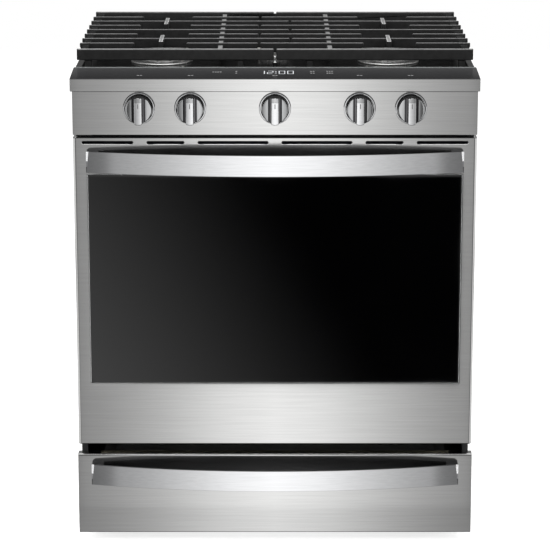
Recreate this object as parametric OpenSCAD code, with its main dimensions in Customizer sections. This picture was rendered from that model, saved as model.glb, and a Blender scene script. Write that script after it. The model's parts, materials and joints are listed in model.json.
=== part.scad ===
// Freestanding gas range with five burners, a convection oven and a storage drawer.
// Millimetres. The front faces -Y, +X is the user's right, +Z is up, and the origin lies
// on the floor below the middle of the outline.

/* [Cabinet] */
// Width across the side panels
body_w = 748; // [700:1:900]
// Depth from the cabinet's front frame to the back edge of the cooktop
cabinet_d = 624; // [600:1:700]
// Distance from the faces of the door and drawer back to the front frame
door_zone = 50; // [48:0.5:60]
// Thickness of the folded steel sheet
sheet_t = 1.2; // [0.8:0.1:2]
// Width of the flanges turned in along the side panels' edges
flange_w = 12; // [8:0.5:14]
// Height of the cabinet's lower edge above the floor
base_lift = 22; // [18:0.5:35]
// Distance from the back panel to the cooktop's back edge
back_inset = 4; // [3:0.5:20]

/* [Front levels] */
// Height of the drawer front's lower edge above the floor
drawer_lift = 18; // [12:0.5:30]
// Height of the drawer front
drawer_h = 159; // [140:0.5:190]
// Gap between the drawer front and the door
drawer_gap = 20; // [16:0.5:30]
// Height of the oven door
door_h = 596; // [570:0.5:640]
// Gap between the door and the control panel
door_gap = 5.5; // [4:0.5:10]
// Height of the control panel
panel_h = 81.5; // [70:0.5:100]
// Height of the bright trim strip above the control panel
trim_h = 24; // [20:0.5:30]

/* [Front widths] */
// How far the door and control panel stand out past each side panel
door_over = 2.25; // [0:0.25:4]
// How far the drawer front stands out past each side panel
drawer_over = 4; // [0:0.25:6]
// How far the console and cooktop stand out past each side panel
deck_over = 6; // [3:0.25:12]

/* [Console] */
// Depth of the console from the front trim to the cooktop
console_d = 97; // [85:0.5:120]
// Rise of the touch glass from its front edge to its back edge
console_rise = 5.5; // [2:0.5:9]
// Thickness of the touch glass
touch_t = 4; // [3:0.5:6]
// Wall thickness of the console housing
housing_t = 2; // [1.5:0.1:3]
// How far the trim strip stands in front of the door's face
trim_out = 2; // [1:0.25:4]
// Thickness of the trim strip
trim_t = 1.5; // [1:0.1:2]

/* [Knobs] */
// Diameter of a knob's round base
knob_d = 50; // [44:0.5:54]
// Thickness of a knob's round base
knob_base_t = 9.5; // [7:0.5:12]
// How far the grip stands out of the knob's base
grip_h = 28; // [20:0.5:32]
// Thickness of the grip across its flat sides
grip_w = 13.5; // [10:0.5:16]
// Outer diameter of a bezel ring
bezel_d = 59.5; // [56:0.5:64]
// How far a bezel ring stands out of the panel
bezel_t = 6; // [4:0.5:8]
// Gap between a knob's base and its bezel ring
bezel_gap = 1; // [0.5:0.1:2]
// Distance from the cabinet's side in to the outer knobs
knob_edge = 122; // [105:1:140]
// Distance from the inner knobs to the outer knobs
knob_step = 95; // [85:1:100]
// Height of the knobs above the control panel's lower edge
knob_rise = 50.5; // [44:0.5:52]
// How far a knob pushes in before it turns
push_travel = 3.5; // [2:0.25:4]

/* [Valves] */
// Radius of the valve stem
stem_r = 3; // [2.5:0.1:4]
// Radius of the plug that turns in the valve
plug_r = 6; // [5:0.1:8]
// Radial clearance of every running fit
fit_gap = 0.05; // [0.02:0.01:0.1]
// Depth of a valve body
valve_d = 36; // [32:0.5:40]
// Side of a valve body's square section
valve_w = 26; // [22:0.5:28]
// Radius of the manifold pipe
manifold_r = 11; // [9:0.5:13]
// Radius of the burner supply tubes
tube_r = 4; // [3:0.25:5]

/* [Cooktop] */
// Height of the cooktop's side skirt
skirt_h = 24; // [20:0.5:28]
// Depth of the pan below its rim
pan_drop = 9; // [6:0.5:12]
// Width of the pan's rim
rim_w = 12; // [11:0.5:16]
// Distance from the middle of the range to the side burners
burner_x = 221; // [205:1:230]
// Radius of a round burner's bright base
ring_r = 60; // [50:1:64]
// Radius of a round burner's head
head_r = 34; // [28:1:38]
// Half width of the middle burner's bright base
oval_ring_r = 36; // [34:1:42]
// Half width of the middle burner's head
oval_head_r = 28; // [26:1:30]
// Distance from the middle burner's centre to the centres of its round ends
oval_reach = 45; // [35:1:55]
// Height of a burner's head above the pan
head_h = 13; // [10:0.5:16]
// Thickness of a burner's cap
cap_t = 6; // [4:0.5:8]

/* [Grates] */
// Height of the grates' top above the pan
grate_h = 45; // [42:0.5:55]
// Height of a grate bar
bar_h = 18; // [14:0.5:20]
// Width of a grate bar
bar_w = 6; // [5:0.5:9]
// Spacing of the grate bars from front to back
bar_pitch = 60.8; // [55:0.1:64]
// Distance from the console back to the middle of the grates' front rail
grate_front = 35.5; // [34:0.5:60]
// Distance from the middle of the grates' back rail to the cooktop's back edge
grate_back = 24.5; // [22:0.5:50]
// Distance from a grate's outer side in from the cooktop's edge
grate_side = 4; // [4:0.5:12]
// Half of the gap between the two grates' rails
grate_gap = 2.5; // [2:0.25:4]
// How far the long bars reach past the middle of the range
tip_reach = 28.5; // [20:0.5:35]
// Half of the opening in the bars around a burner
burner_clear = 50; // [45:1:58]

/* [Oven] */
// Distance from the cabinet's side to the wall of the oven cavity
wall_w = 68; // [58:1:90]
// Distance from the door's upper edge down to the top of the oven cavity
cavity_drop = 58; // [38:1:90]
// Depth of the oven cavity
cavity_d = 490; // [470:1:510]
// Height of the cavity's floor above the door's lower edge
cavity_lift = 38; // [32:0.5:45]
// Thickness of the insulation above the oven
wool_t = 30; // [20:0.5:33]
// Number of rack levels
rack_levels = 6; // [4:1:7]
// Spacing of the rack levels
rack_pitch = 62; // [50:1:66]
// Width of the pressed ledges that carry the racks
ledge_w = 12; // [9:0.5:16]
// Radius of a rack's frame wire
rack_r = 3; // [2.5:0.1:4]
// Radius of the convection fan's cover
fan_r = 95; // [80:1:110]

/* [Door] */
// Thickness of the door skin's sheet
skin_t = 1.5; // [1:0.1:2]
// Depth of the door's pressed skin
skin_d = 42; // [40:0.5:43]
// Width of the steel beside the door's outer glass
glass_side = 26.25; // [18:0.25:45]
// Height of the door's outer glass
glass_h = 406; // [360:1:430]
// Distance from the door's upper edge down to the glass
glass_drop = 69; // [60:0.5:90]
// Thickness of the door's glass panes
glass_t = 4; // [3:0.5:5]
// Width of the door's inner window
window_w = 460; // [400:1:520]
// Height of the door's inner window
window_h = 250; // [200:1:300]
// Height of the vent slots near the door's upper edge
slot_h = 5.7; // [4:0.1:7]
// Distance from the door's upper edge to the vent slots
slot_drop = 6.3; // [5:0.1:9]
// Height of the hinge pin above the door's lower edge
hinge_lift = 13; // [12:0.5:14]
// Distance from the door's face back to the hinge pin
hinge_set = 27; // [26:0.5:28]
// Distance from the cabinet's side in to each hinge
hinge_inset = 26; // [22:0.5:34]

/* [Handles] */
// Distance from the cabinet's side in to the end of each handle
handle_inset = 23; // [15:1:45]
// Height of a handle's band
handle_h = 40.5; // [36:0.5:46]
// Thickness of a handle's band
handle_t = 13; // [10:0.5:16]
// Distance from the door's face to the handle's front at its ends
handle_end = 19; // [18:0.5:24]
// Distance from the door's face to the handle's front at its middle
handle_out = 61; // [50:0.5:70]
// Length of the solid post at each end of a handle
post_l = 22; // [16:1:30]
// Distance from the door's upper edge to its handle
door_handle_drop = 22; // [18:0.5:30]
// Distance from the drawer's upper edge to its handle
drawer_handle_drop = 15; // [11:0.5:25]

/* [Drawer] */
// Distance from the cabinet's side in to the side of the drawer box
drawer_side = 39; // [30:0.5:54]
// Height of the drawer box
drawer_box_h = 102; // [80:1:105]
// Depth of the drawer box
drawer_box_d = 500; // [420:1:540]
// Depth of the drawer front
drawer_front_d = 22; // [18:0.5:26]
// Clearance between the drawer's slides and their rails
slide_gap = 0.4; // [0.3:0.05:0.6]

/* [Hidden] */
$fn = 48;

// Overlap that keeps a cut from ending on a face
cut = 1;
// Gap around a part that passes through a hole, and around a screw
pass_gap = 0.3;
screw_gap = 0.2;

// Levels, from the floor up
z_drawer = drawer_lift;
z_drawer_top = z_drawer + drawer_h;
z_door = z_drawer_top + drawer_gap;
z_door_top = z_door + door_h;
z_panel = z_door_top + door_gap;
z_deck = z_panel + panel_h;
z_trim_top = z_deck + trim_h;
z_knob = z_panel + knob_rise;
z_rim = z_deck + skirt_h;
z_floor = z_rim - pan_drop;
z_grate = z_floor + grate_h;
z_cavity = z_door + cavity_lift;
cavity_h = door_h - cavity_lift - cavity_drop;
z_cavity_top = z_cavity + cavity_h;
z_hinge = z_door + hinge_lift;

// Depths, from the front back
outline_d = handle_out + door_zone + cabinet_d;
y_face = handle_out - outline_d / 2;
y_cabinet = y_face + door_zone;
y_back = y_cabinet + cabinet_d;
y_rear = y_back - back_inset - sheet_t;
y_cavity = y_cabinet + cavity_d;
y_console = y_face + trim_t - trim_out;
y_console_back = y_face + console_d;
y_hinge = y_face + hinge_set;
y_grate_front = y_console_back + grate_front;
y_grate_back = y_back - grate_back;
mid_y = (y_grate_front + y_grate_back) / 2;

// Half widths
side_x = body_w / 2;
side_in = side_x - sheet_t;
frame_x = side_x - flange_w;
door_x = side_x + door_over;
deck_x = side_x + deck_over;
cavity_x = side_x - wall_w;
glass_x = door_x - glass_side;
hinge_x = side_x - hinge_inset;
handle_reach = side_x - handle_inset;
drawer_half = side_x - drawer_side;
grate_reach = deck_x - grate_side;

// Front frame around the oven, from just below the door to its upper gap
frame_low = z_door - 4;
frame_top = z_panel - 1;

// Knobs and valves
outer_knob = side_x - knob_edge;
inner_knob = outer_knob - knob_step;
knob_xs = [-outer_knob, -inner_knob, 0, inner_knob, outer_knob];
knob_back = push_travel + 1;
bezel_in = knob_d / 2 + bezel_gap;
y_valve = y_face + 16;
y_valve_back = y_valve + valve_d;
boss_r = 7;
y_manifold = y_valve_back + manifold_r + boss_r;
stem_out = 16;
plug_set = 2;
plug_l = valve_d - 10;
plug_end = 0.5;
tube_z = z_knob + valve_w / 2 + tube_r + 4;
supply_x = side_x - 44;
y_regulator = y_rear - 70;

// Burners: left front, left rear, middle, right rear, right front
front_y = mid_y - 2 * bar_pitch;
rear_y = mid_y + 2 * bar_pitch;
burners = [
    [-burner_x, front_y], [-burner_x, rear_y], [0, mid_y],
    [burner_x, rear_y], [burner_x, front_y]
];
throat_r = 24;
throat_h = 34;
ring_t = 3.5;

// Racks rest on the second ledge from the bottom and the second from the top
first_level = 58;
ledge_t = 5;
rack_rest = 0.3;
rack_set = [19, 48];
rack_y0 = y_cabinet + rack_set[0];
rack_y1 = y_cavity - rack_set[1];
ledge_past = 3.5;
broil_drop = 27;
z_broil = z_cavity_top - broil_drop;
fan_cover_d = 38;
y_fan_cover = y_cavity - fan_cover_d;
z_fan = z_cavity + cavity_h / 2;

// Drawer running gear
drawer_box_z = base_lift + 27;
rail_z = base_lift + 88;
rail_h = 30;
y_drawer_box = y_face + drawer_front_d;
y_drawer_end = y_drawer_box + drawer_box_d;

// Door details
liner_y = y_face + skin_d;
plug_y = y_cabinet - 1;
window_z = z_cavity + cavity_h / 2 - window_h / 2;
arm_half = 2.5;
receiver_half = 7;
arm_h = 14;
hinge_pin_r = 4;

// Draws a box from one corner to the opposite one.
module block(low, high) {
    translate(low)
        cube(high - low);
}

// Draws a round bar from point a to point b.
module rod(a, b, r) {
    run = b - a;
    translate(a)
        rotate([0, acos(run.z / norm(run)), atan2(run.y, run.x)])
            cylinder(r = r, h = norm(run));
}

// Extrudes an outline drawn in X and Z backwards from y0 through the thickness t.
module from_front(y0, t) {
    translate([0, y0 + t, 0])
        rotate([90, 0, 0])
            linear_extrude(t)
                children();
}

// Extrudes an outline drawn in Y and Z from x0 to x1.
module along_x(x0, x1) {
    translate([x0, 0, 0])
        rotate([90, 0, 90])
            linear_extrude(x1 - x0)
                children();
}

// Draws both mirrored copies of its children, left and right.
module both_sides() {
    for (s = [0, 1])
        mirror([s, 0, 0])
            children();
}

// A round disc or shaft that points towards the user, from y0 back through the length l.
module shaft(x, y0, z, r, l) {
    translate([x, y0, z])
        rotate([-90, 0, 0])
            cylinder(r = r, h = l);
}

// A slot outline with round ends, centred on the origin.
module slot_2d(w, h) {
    square([w - h, h], center = true);
    for (s = [-1, 1])
        translate([s * (w - h) / 2, 0])
            circle(d = h);
}

// A rectangle outline with its two front corners rounded, y running back from 0.
module round_front_2d(half, d, r) {
    translate([-half, r])
        square([2 * half, d - r]);
    translate([r - half, 0])
        square([2 * (half - r), r]);
    for (s = [-1, 1])
        translate([s * (half - r), r])
            circle(r = r);
}

// Cabinet ---------------------------------------------------------------------------

screw_r = 2;
screw_end = 60;
screw_run = z_deck - base_lift - 2 * screw_end;
screw_zs = [for (i = [0 : 4]) base_lift + screw_end + i * screw_run / 4];
screw_x = side_x - flange_w / 2;
screw_l = 8;
screw_head_r = 4.5;
screw_head_h = 2.5;

// Right side panel: a pressed tray, its flanges turned in at the front, back and top.
module side_panel() {
    color("dimgray")
        difference() {
            block([frame_x, y_cabinet, base_lift], [side_x, y_rear, z_deck]);
            block([frame_x - cut, y_cabinet + sheet_t, base_lift - cut],
                [side_in, y_rear - sheet_t, z_deck - sheet_t]);
            for (z = screw_zs)
                shaft(screw_x, y_rear - sheet_t - cut, z, screw_r + screw_gap, sheet_t + 2 * cut);
        }
}

module side_panel_right() {
    side_panel();
}

module side_panel_left() {
    mirror([1, 0, 0])
        side_panel();
}

leg_inset = 50;
leg_x = side_x - 44;
leg_ys = [y_cabinet + leg_inset, y_rear - leg_inset];
leg_r = 5;
leg_up = 22;
pad_r = 18;
pad_h = 8;
nut_r = 12;
nut_gap = 6;
rail_t = 2;
rail_up = 60;
foot_w = 62;
cross_w = 30;
cross_h = 20;

// Base frame: two angle rails that carry the legs, joined at the front and the back.
module base_frame() {
    y0 = y_cabinet + sheet_t;
    y1 = y_rear - sheet_t;
    color("silver")
        difference() {
            union() {
                both_sides() {
                    block([side_in - rail_t, y0, base_lift], [side_in, y1, base_lift + rail_up]);
                    block([side_in - foot_w, y0, base_lift], [side_in, y1, base_lift + rail_t]);
                }
                for (y = [y0, y1 - cross_w]) {
                    block([-side_in, y, base_lift], [side_in, y + cross_w, base_lift + rail_t]);
                    block([-side_in, y, base_lift], [side_in, y + rail_t, base_lift + cross_h]);
                }
            }
            both_sides()
                for (y = leg_ys)
                    translate([leg_x, y, base_lift - cut])
                        cylinder(r = leg_r + fit_gap, h = rail_t + 2 * cut);
        }
}

// Four levelling legs: a hexagonal foot on a threaded stem.
module levelling_legs() {
    color("gray")
        both_sides()
            for (y = leg_ys)
                translate([leg_x, y, 0]) {
                    cylinder(r = pad_r, h = pad_h);
                    cylinder(r = nut_r, h = base_lift - nut_gap, $fn = 6);
                    cylinder(r = leg_r, h = base_lift + leg_up);
                }
}

inlet_hole_r = 20;
gland_x = -side_x + 74;
gland_z = base_lift + 150;
gland_r = 12;
gland_in = 8;
gland_out = 2;
gland_flange = [4, 3];
cord_r = 5;
louvre = [34, 6];
louvre_step = [46, 24];
louvre_drop = 60;

// Back panel with its louvre slots and the holes for the gas inlet and the power cord.
module back_panel() {
    color("lightgray")
        difference() {
            block([-side_x, y_rear, base_lift], [side_x, y_rear + sheet_t, z_deck]);
            shaft(supply_x, y_rear - cut, z_knob, inlet_hole_r, sheet_t + 2 * cut);
            shaft(gland_x, y_rear - cut, gland_z, gland_r, sheet_t + 2 * cut);
            both_sides()
                for (z = screw_zs)
                    shaft(screw_x, y_rear - cut, z, screw_r + screw_gap, sheet_t + 2 * cut);
            for (row = [0 : 4], i = [-4 : 4])
                translate([i * louvre_step.x, 0, z_fan - louvre_drop + row * louvre_step.y])
                    from_front(y_rear - cut, sheet_t + 2 * cut)
                        slot_2d(louvre.x, louvre.y);
        }
}

// Screws of the back panel: a low hexagonal head on a short shank.
module back_screws() {
    color("silver")
        both_sides()
            for (z = screw_zs) {
                shaft(screw_x, y_rear - screw_l, z, screw_r, screw_l + sheet_t + screw_head_h / 2);
                translate([screw_x, y_rear + sheet_t, z])
                    rotate([-90, 0, 0])
                        cylinder(r = screw_head_r, h = screw_head_h, $fn = 6);
            }
}

// Gland of the power cord: a flanged bush in the back panel.
module power_gland() {
    color("black")
        difference() {
            union() {
                shaft(gland_x, y_rear - gland_in, gland_z, gland_r - screw_gap / 2,
                    gland_in + sheet_t + gland_out);
                shaft(gland_x, y_rear - gland_flange.y, gland_z, gland_r + gland_flange.x,
                    gland_flange.y);
            }
            shaft(gland_x, y_rear - gland_in - cut, gland_z, cord_r,
                gland_in + sheet_t + gland_out + 2 * cut);
        }
}

// Cooktop ---------------------------------------------------------------------------

pan_t = 1.5;
pan_y0 = y_console_back;
front_rim = 8;
under_gap = 10;
rear_slot = [40, 4];
rear_slot_step = 60;

// Cooktop pan: a folded tray, recessed inside its rim, with a hole for each burner.
module cooktop_pan() {
    well_x = deck_x - rim_w;
    well_y0 = pan_y0 + front_rim;
    well_y1 = y_back - rim_w;
    color([0.09, 0.09, 0.1])
        difference() {
            block([-deck_x, pan_y0, z_deck], [deck_x, y_back, z_rim]);
            block([-well_x, well_y0, z_floor], [well_x, well_y1, z_rim + cut]);
            block([-deck_x + pan_t, pan_y0 + pan_t, z_deck + pan_t],
                [deck_x - pan_t, y_back - pan_t, z_floor - pan_t]);
            both_sides()
                block([well_x + pan_t, pan_y0 + pan_t, z_deck + pan_t],
                    [deck_x - pan_t, y_back - pan_t, z_rim - pan_t]);
            block([-frame_x + 2, pan_y0 + under_gap, z_deck - cut],
                [frame_x - 2, y_rear - under_gap, z_deck + pan_t + cut]);
            for (b = [0, 1, 3, 4])
                translate([burners[b].x, burners[b].y, z_floor - 2 * pan_t])
                    cylinder(r = throat_r + pass_gap, h = 4 * pan_t);
            translate([0, mid_y, z_floor - 2 * pan_t])
                cylinder(r = throat_r + pass_gap, h = 4 * pan_t);
            for (i = [-4 : 4])
                translate([i * rear_slot_step, y_back - rim_w / 2, z_floor - 2 * pan_t])
                    linear_extrude(pan_drop + 4 * pan_t)
                        slot_2d(rear_slot.x, rear_slot.y);
        }
}

// An oval disc that runs from front to back, or a round one where reach is zero.
module oval(reach, r, h) {
    for (s = [-1, 1])
        translate([0, s * reach, 0])
            cylinder(r = r, h = h);
    if (reach > 0)
        translate([-r, -reach, 0])
            cube([2 * r, 2 * reach, h]);
}

port_step = 15;
port_d = 4;
port_w = 1.8;

// Flame ports: short radial slots cut in a head's upper edge, over part of a circle.
module flame_ports(r, from, to) {
    for (a = [from : port_step : to])
        rotate(a)
            translate([r - port_d, -port_w / 2, z_floor + head_h - port_d])
                cube([port_d + cut, port_w, port_d + cut]);
}

// One burner: throat below the pan, bright base ring on it, and head with flame ports.
module burner_head(reach, ring, head) {
    color("lightgray")
        difference() {
            union() {
                translate([0, 0, z_floor - throat_h])
                    cylinder(r = throat_r, h = throat_h + ring_t);
                translate([0, 0, z_floor])
                    oval(reach, ring, ring_t);
                translate([0, 0, z_floor])
                    oval(reach, head, head_h);
            }
            translate([0, reach, 0])
                flame_ports(head, 0, 180);
            translate([0, -reach, 0])
                flame_ports(head, 180 + port_step, 360 - port_step);
        }
}

module burner_heads() {
    for (b = [0, 1, 3, 4])
        translate([burners[b].x, burners[b].y, 0])
            burner_head(0, ring_r, head_r);
    translate([0, mid_y, 0])
        burner_head(oval_reach, oval_ring_r, oval_head_r);
}

cap_set = 1;
cap_bevel = 3;

// Burner caps: thin black discs with a chamfered edge, one oval.
module burner_caps() {
    color([0.08, 0.08, 0.08])
        translate([0, 0, z_floor + head_h]) {
            for (b = [0, 1, 3, 4])
                translate([burners[b].x, burners[b].y, 0]) {
                    cylinder(r = head_r - cap_set, h = cap_t / 2);
                    translate([0, 0, cap_t / 2])
                        cylinder(r1 = head_r - cap_set, r2 = head_r - cap_set - cap_bevel,
                            h = cap_t / 2);
                }
            translate([0, mid_y, 0])
                oval(oval_reach, oval_head_r - cap_set, cap_t);
        }
}

spark_gap = 7;
spark_post = [2.8, 9];
spark_tip = [0.9, 13];

// Spark electrodes: a ceramic post with a wire tip on each burner's base ring.
module spark_electrodes() {
    color("ivory")
        for (b = burners) {
            side = b.x < 0 ? -1 : 1;
            gap = b.x == 0 ? (oval_head_r + oval_ring_r) / 2 : head_r + spark_gap;
            translate([b.x - side * gap, b.y, z_floor + ring_t]) {
                cylinder(r = spark_post[0], h = spark_post[1]);
                cylinder(r = spark_tip[0], h = spark_tip[1]);
            }
        }
}

pin_set = 15;
pin_base = [5, 22];
pin_stem = [1.5, 29];
pin_head = [2.5, 4];

// Locating pin that stands in front of the gap between the two grates.
module grate_pin() {
    color("silver")
        translate([0, y_grate_front - pin_set, z_floor]) {
            cylinder(r = pin_base[0], h = pin_base[1]);
            cylinder(r = pin_stem[0], h = pin_stem[1]);
            translate([0, 0, pin_stem[1]])
                cylinder(r = pin_head[0], h = pin_head[1]);
        }
}

bar_edge = 1;
bar_tip = 7;

// A grate bar from u0 to u1 across the range, its ends tapered where asked.
module cross_bar(u0, u1, y, taper0, taper1) {
    z0 = z_grate - bar_h;
    z1 = z_grate - bar_edge;
    from_front(y - bar_w / 2, bar_w)
        polygon([
            [u0 + taper0, z0], [u1 - taper1, z0],
            [u1, z_grate - bar_tip], [u1, z1], [u1 - bar_edge, z_grate],
            [u0 + bar_edge, z_grate], [u0, z1], [u0, z_grate - bar_tip]
        ]);
}

rail_d = 12;
rail_drop = 3;
rail_bevel = [2, 2];
rail_slope = 1;
rib_x = 105;
rib_w = 10;
side_rib_x = grate_reach - 11.5;
side_rib_w = 11;
rib_drop = 5;
foot_us = [66, grate_reach - 22];
grate_foot = [13, 10];
finger = [8.8, 90, 12];
inner_taper = 8;
gap_taper = 14;
outer_taper = 5;
tip_gap = 4;

// One grate, drawn for the right side. Its long rows reach past the middle of the range.
module grate(long_first) {
    z0 = z_grate - bar_h;
    y0 = y_grate_front;
    y1 = y_grate_back;
    outer = grate_reach;
    half = rail_d / 2;
    top = half - rail_slope;
    color([0.11, 0.11, 0.12]) {
        // Front and back rails, each with two feet on the pan
        for (y = [y0, y1]) {
            along_x(grate_gap, outer)
                polygon([
                    [y - half, z0 - rail_drop], [y + half, z0 - rail_drop],
                    [y + top, z_grate - rail_bevel.y], [y + top - rail_bevel.x, z_grate],
                    [y - top + rail_bevel.x, z_grate], [y - top, z_grate - rail_bevel.y]
                ]);
            for (u = foot_us)
                block([u - grate_foot.x / 2, y - grate_foot.y / 2, z_floor],
                    [u + grate_foot.x / 2, y + grate_foot.y / 2, z0]);
        }
        // Bars across, every second one opened around the burners
        for (k = [-3 : 3]) {
            y = mid_y + k * bar_pitch;
            inner = (abs(k) % 2 == 1) == long_first ? -tip_reach : tip_reach + tip_gap;
            if (abs(k) % 2 == 1) {
                cross_bar(inner, burner_x - burner_clear, y, inner_taper, gap_taper);
                cross_bar(burner_x + burner_clear, outer, y, gap_taper, outer_taper);
            } else {
                cross_bar(inner, outer, y, inner_taper, outer_taper);
            }
        }
        // Ribs from front to back, and the short fingers over the burners
        for (rib = [[rib_x, rib_w], [side_rib_x, side_rib_w]])
            block([rib[0] - rib[1] / 2, y0, z0], [rib[0] + rib[1] / 2, y1, z_grate - rib_drop]);
        for (k = [-2, 2])
            translate([burner_x, mid_y + k * bar_pitch, z_grate])
                block([-finger.x / 2, -finger.y / 2, -finger.z], [finger.x / 2, finger.y / 2, 0]);
    }
}

module grate_right() {
    grate(true);
}

module grate_left() {
    mirror([1, 0, 0])
        grate(false);
}

// Console and control panel ---------------------------------------------------------

z_glass_front = z_trim_top;
z_glass_back = z_trim_top + console_rise;

// Console housing: a shallow box whose sloping top edge carries the glass.
module console_housing() {
    w = housing_t;
    color([0.15, 0.15, 0.16])
        difference() {
            along_x(-deck_x, deck_x)
                polygon([
                    [y_console, z_deck], [y_console_back, z_deck],
                    [y_console_back, z_glass_back - touch_t], [y_console, z_glass_front - touch_t]
                ]);
            block([-deck_x + w, y_console + w, z_deck + w],
                [deck_x - w, y_console_back - w, z_glass_back + cut]);
        }
}

// Touch glass: one sheet, higher at its back edge.
module touch_glass() {
    color([0.03, 0.03, 0.04])
        along_x(-deck_x, deck_x)
            polygon([
                [y_console, z_glass_front - touch_t], [y_console_back, z_glass_back - touch_t],
                [y_console_back, z_glass_back], [y_console, z_glass_front]
            ]);
}

board = [280, 56, 2];
board_set = 18;
display = [72, 34, 6];
post_h = 4;
post_inset = [10, 6];

// Control board with its display, on four posts inside the console.
module control_board() {
    y0 = y_console + board_set;
    z0 = z_deck + housing_t;
    post_x = board.x / 2 - post_inset.x;
    color("darkgreen") {
        translate([-board.x / 2, y0, z0 + post_h])
            cube(board);
        translate([-display.x / 2, y0 + (board.y - display.y) / 2, z0 + post_h + board.z])
            cube(display);
        for (x = [-post_x, post_x], y = [y0 + post_inset.y, y0 + board.y - post_inset.y])
            translate([x, y, z0])
                cylinder(r = 3, h = post_h);
    }
}

trim_gap = 0.6;
trim_inset = 0.5;
trim_edge = 0.7;

// Bright trim strip across the front of the console.
module front_trim() {
    y0 = y_face - trim_out;
    color("silver")
        along_x(-deck_x + trim_inset, deck_x - trim_inset)
            polygon([
                [y0, z_deck + trim_gap], [y_console, z_deck + trim_gap],
                [y_console, z_trim_top], [y0 + trim_edge, z_trim_top],
                [y0, z_trim_top - trim_edge]
            ]);
}

panel_lip = 6;
stem_hole_gap = 3;

// Control panel: a folded front with a hole for each valve stem, open at the back.
module control_panel() {
    color("silver")
        difference() {
            block([-door_x, y_face, z_panel], [door_x, y_cabinet, z_deck]);
            block([-door_x + sheet_t, y_face + sheet_t, z_panel + sheet_t],
                [door_x - sheet_t, y_cabinet - sheet_t, z_deck - sheet_t]);
            block([-frame_x, y_cabinet - 2 * sheet_t, z_panel + panel_lip],
                [frame_x, y_cabinet + cut, z_deck - sheet_t]);
            for (x = knob_xs)
                shaft(x, y_face - cut, z_knob, stem_r + stem_hole_gap, sheet_t + 2 * cut);
        }
}

bezel_bevel = [1.2, 2];
bezel_lip = 0.6;

// Bezel rings around the knobs.
module knob_bezels() {
    r = bezel_d / 2;
    color("silver")
        for (x = knob_xs)
            translate([x, y_face, z_knob])
                rotate([90, 0, 0])
                    rotate_extrude()
                        polygon([
                            [bezel_in, 0], [r, 0], [r, bezel_t - bezel_bevel.y],
                            [r - bezel_bevel.x, bezel_t], [bezel_in + bezel_lip, bezel_t]
                        ]);
}

grip_root = 7;
grip_step = [10, 4];
stem_flat = 1;

// One knob: a round base with a straight grip whose sides sweep into it in hollows.
module knob(x) {
    y_base = y_face - knob_back;
    y_front = y_base - knob_base_t;
    hollow = grip_h - 2;
    flat_x = x + stem_r - stem_flat + fit_gap;
    color("silver")
        difference() {
            intersection() {
                shaft(x, y_front - grip_h, z_knob, knob_d / 2, grip_h + knob_base_t);
                union() {
                    shaft(x, y_front, z_knob, knob_d / 2, knob_base_t);
                    translate([x, 0, z_knob - knob_d / 2])
                        linear_extrude(knob_d)
                            difference() {
                                translate([-grip_w / 2 - grip_root, y_front - grip_h])
                                    square([grip_w + 2 * grip_root, grip_h + cut]);
                                for (s = [-1, 1])
                                    translate([s * (grip_w / 2 + hollow), y_front - hollow])
                                        circle(r = hollow, $fn = 96);
                                for (s = [-1, 1])
                                    translate([s * (grip_w / 2 + grip_step.x), y_front - grip_h])
                                        square(2 * grip_step, center = true);
                            }
                }
            }
            difference() {
                shaft(x, y_face - stem_out - knob_back, z_knob, stem_r + fit_gap, stem_out);
                block([flat_x, y_front - grip_h, z_knob - stem_r - cut],
                    [x + stem_r + cut, y_base + cut, z_knob + stem_r + cut]);
            }
        }
}

module knob_1() {
    knob(knob_xs[0]);
}

module knob_2() {
    knob(knob_xs[1]);
}

module knob_3() {
    knob(knob_xs[2]);
}

module knob_4() {
    knob(knob_xs[3]);
}

module knob_5() {
    knob(knob_xs[4]);
}

// One valve stem: a shaft with a flat for the knob, and the plug that turns in the valve.
module valve_stem(x) {
    color("khaki")
        difference() {
            union() {
                shaft(x, y_face - stem_out, z_knob, stem_r, stem_out + y_valve + plug_set + cut - y_face);
                shaft(x, y_valve + plug_set, z_knob, plug_r, plug_l);
            }
            block([x + stem_r - stem_flat, y_face - stem_out - cut, z_knob - stem_r - cut],
                [x + stem_r + cut, y_face + 2, z_knob + stem_r + cut]);
        }
}

module valve_stem_1() {
    valve_stem(knob_xs[0]);
}

module valve_stem_2() {
    valve_stem(knob_xs[1]);
}

module valve_stem_3() {
    valve_stem(knob_xs[2]);
}

module valve_stem_4() {
    valve_stem(knob_xs[3]);
}

module valve_stem_5() {
    valve_stem(knob_xs[4]);
}

// Valve bodies: square blocks bored for the plugs.
module valve_bodies() {
    half = valve_w / 2;
    color("goldenrod")
        for (x = knob_xs)
            difference() {
                block([x - half, y_valve, z_knob - half], [x + half, y_valve_back, z_knob + half]);
                shaft(x, y_valve - cut, z_knob, plug_r + fit_gap,
                    plug_l + plug_set + plug_end + cut);
            }
}

supply_r = 8;
ear_w = 16;
ear_t = 6;

// Manifold pipe with a boss for each valve, and the supply pipe from the regulator.
module gas_manifold() {
    end_x = supply_x + manifold_r + cut;
    color("silver") {
        rod([-end_x, y_manifold, z_knob], [end_x, y_manifold, z_knob], manifold_r);
        for (x = knob_xs)
            shaft(x, y_valve_back, z_knob, boss_r, y_manifold - y_valve_back);
        both_sides()
            block([supply_x + manifold_r - 3, y_manifold - ear_w / 2, z_knob - ear_t / 2],
                [side_in, y_manifold + ear_w / 2, z_knob + ear_t / 2]);
        shaft(supply_x, y_manifold, z_knob, supply_r, y_regulator - y_manifold);
    }
}

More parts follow.
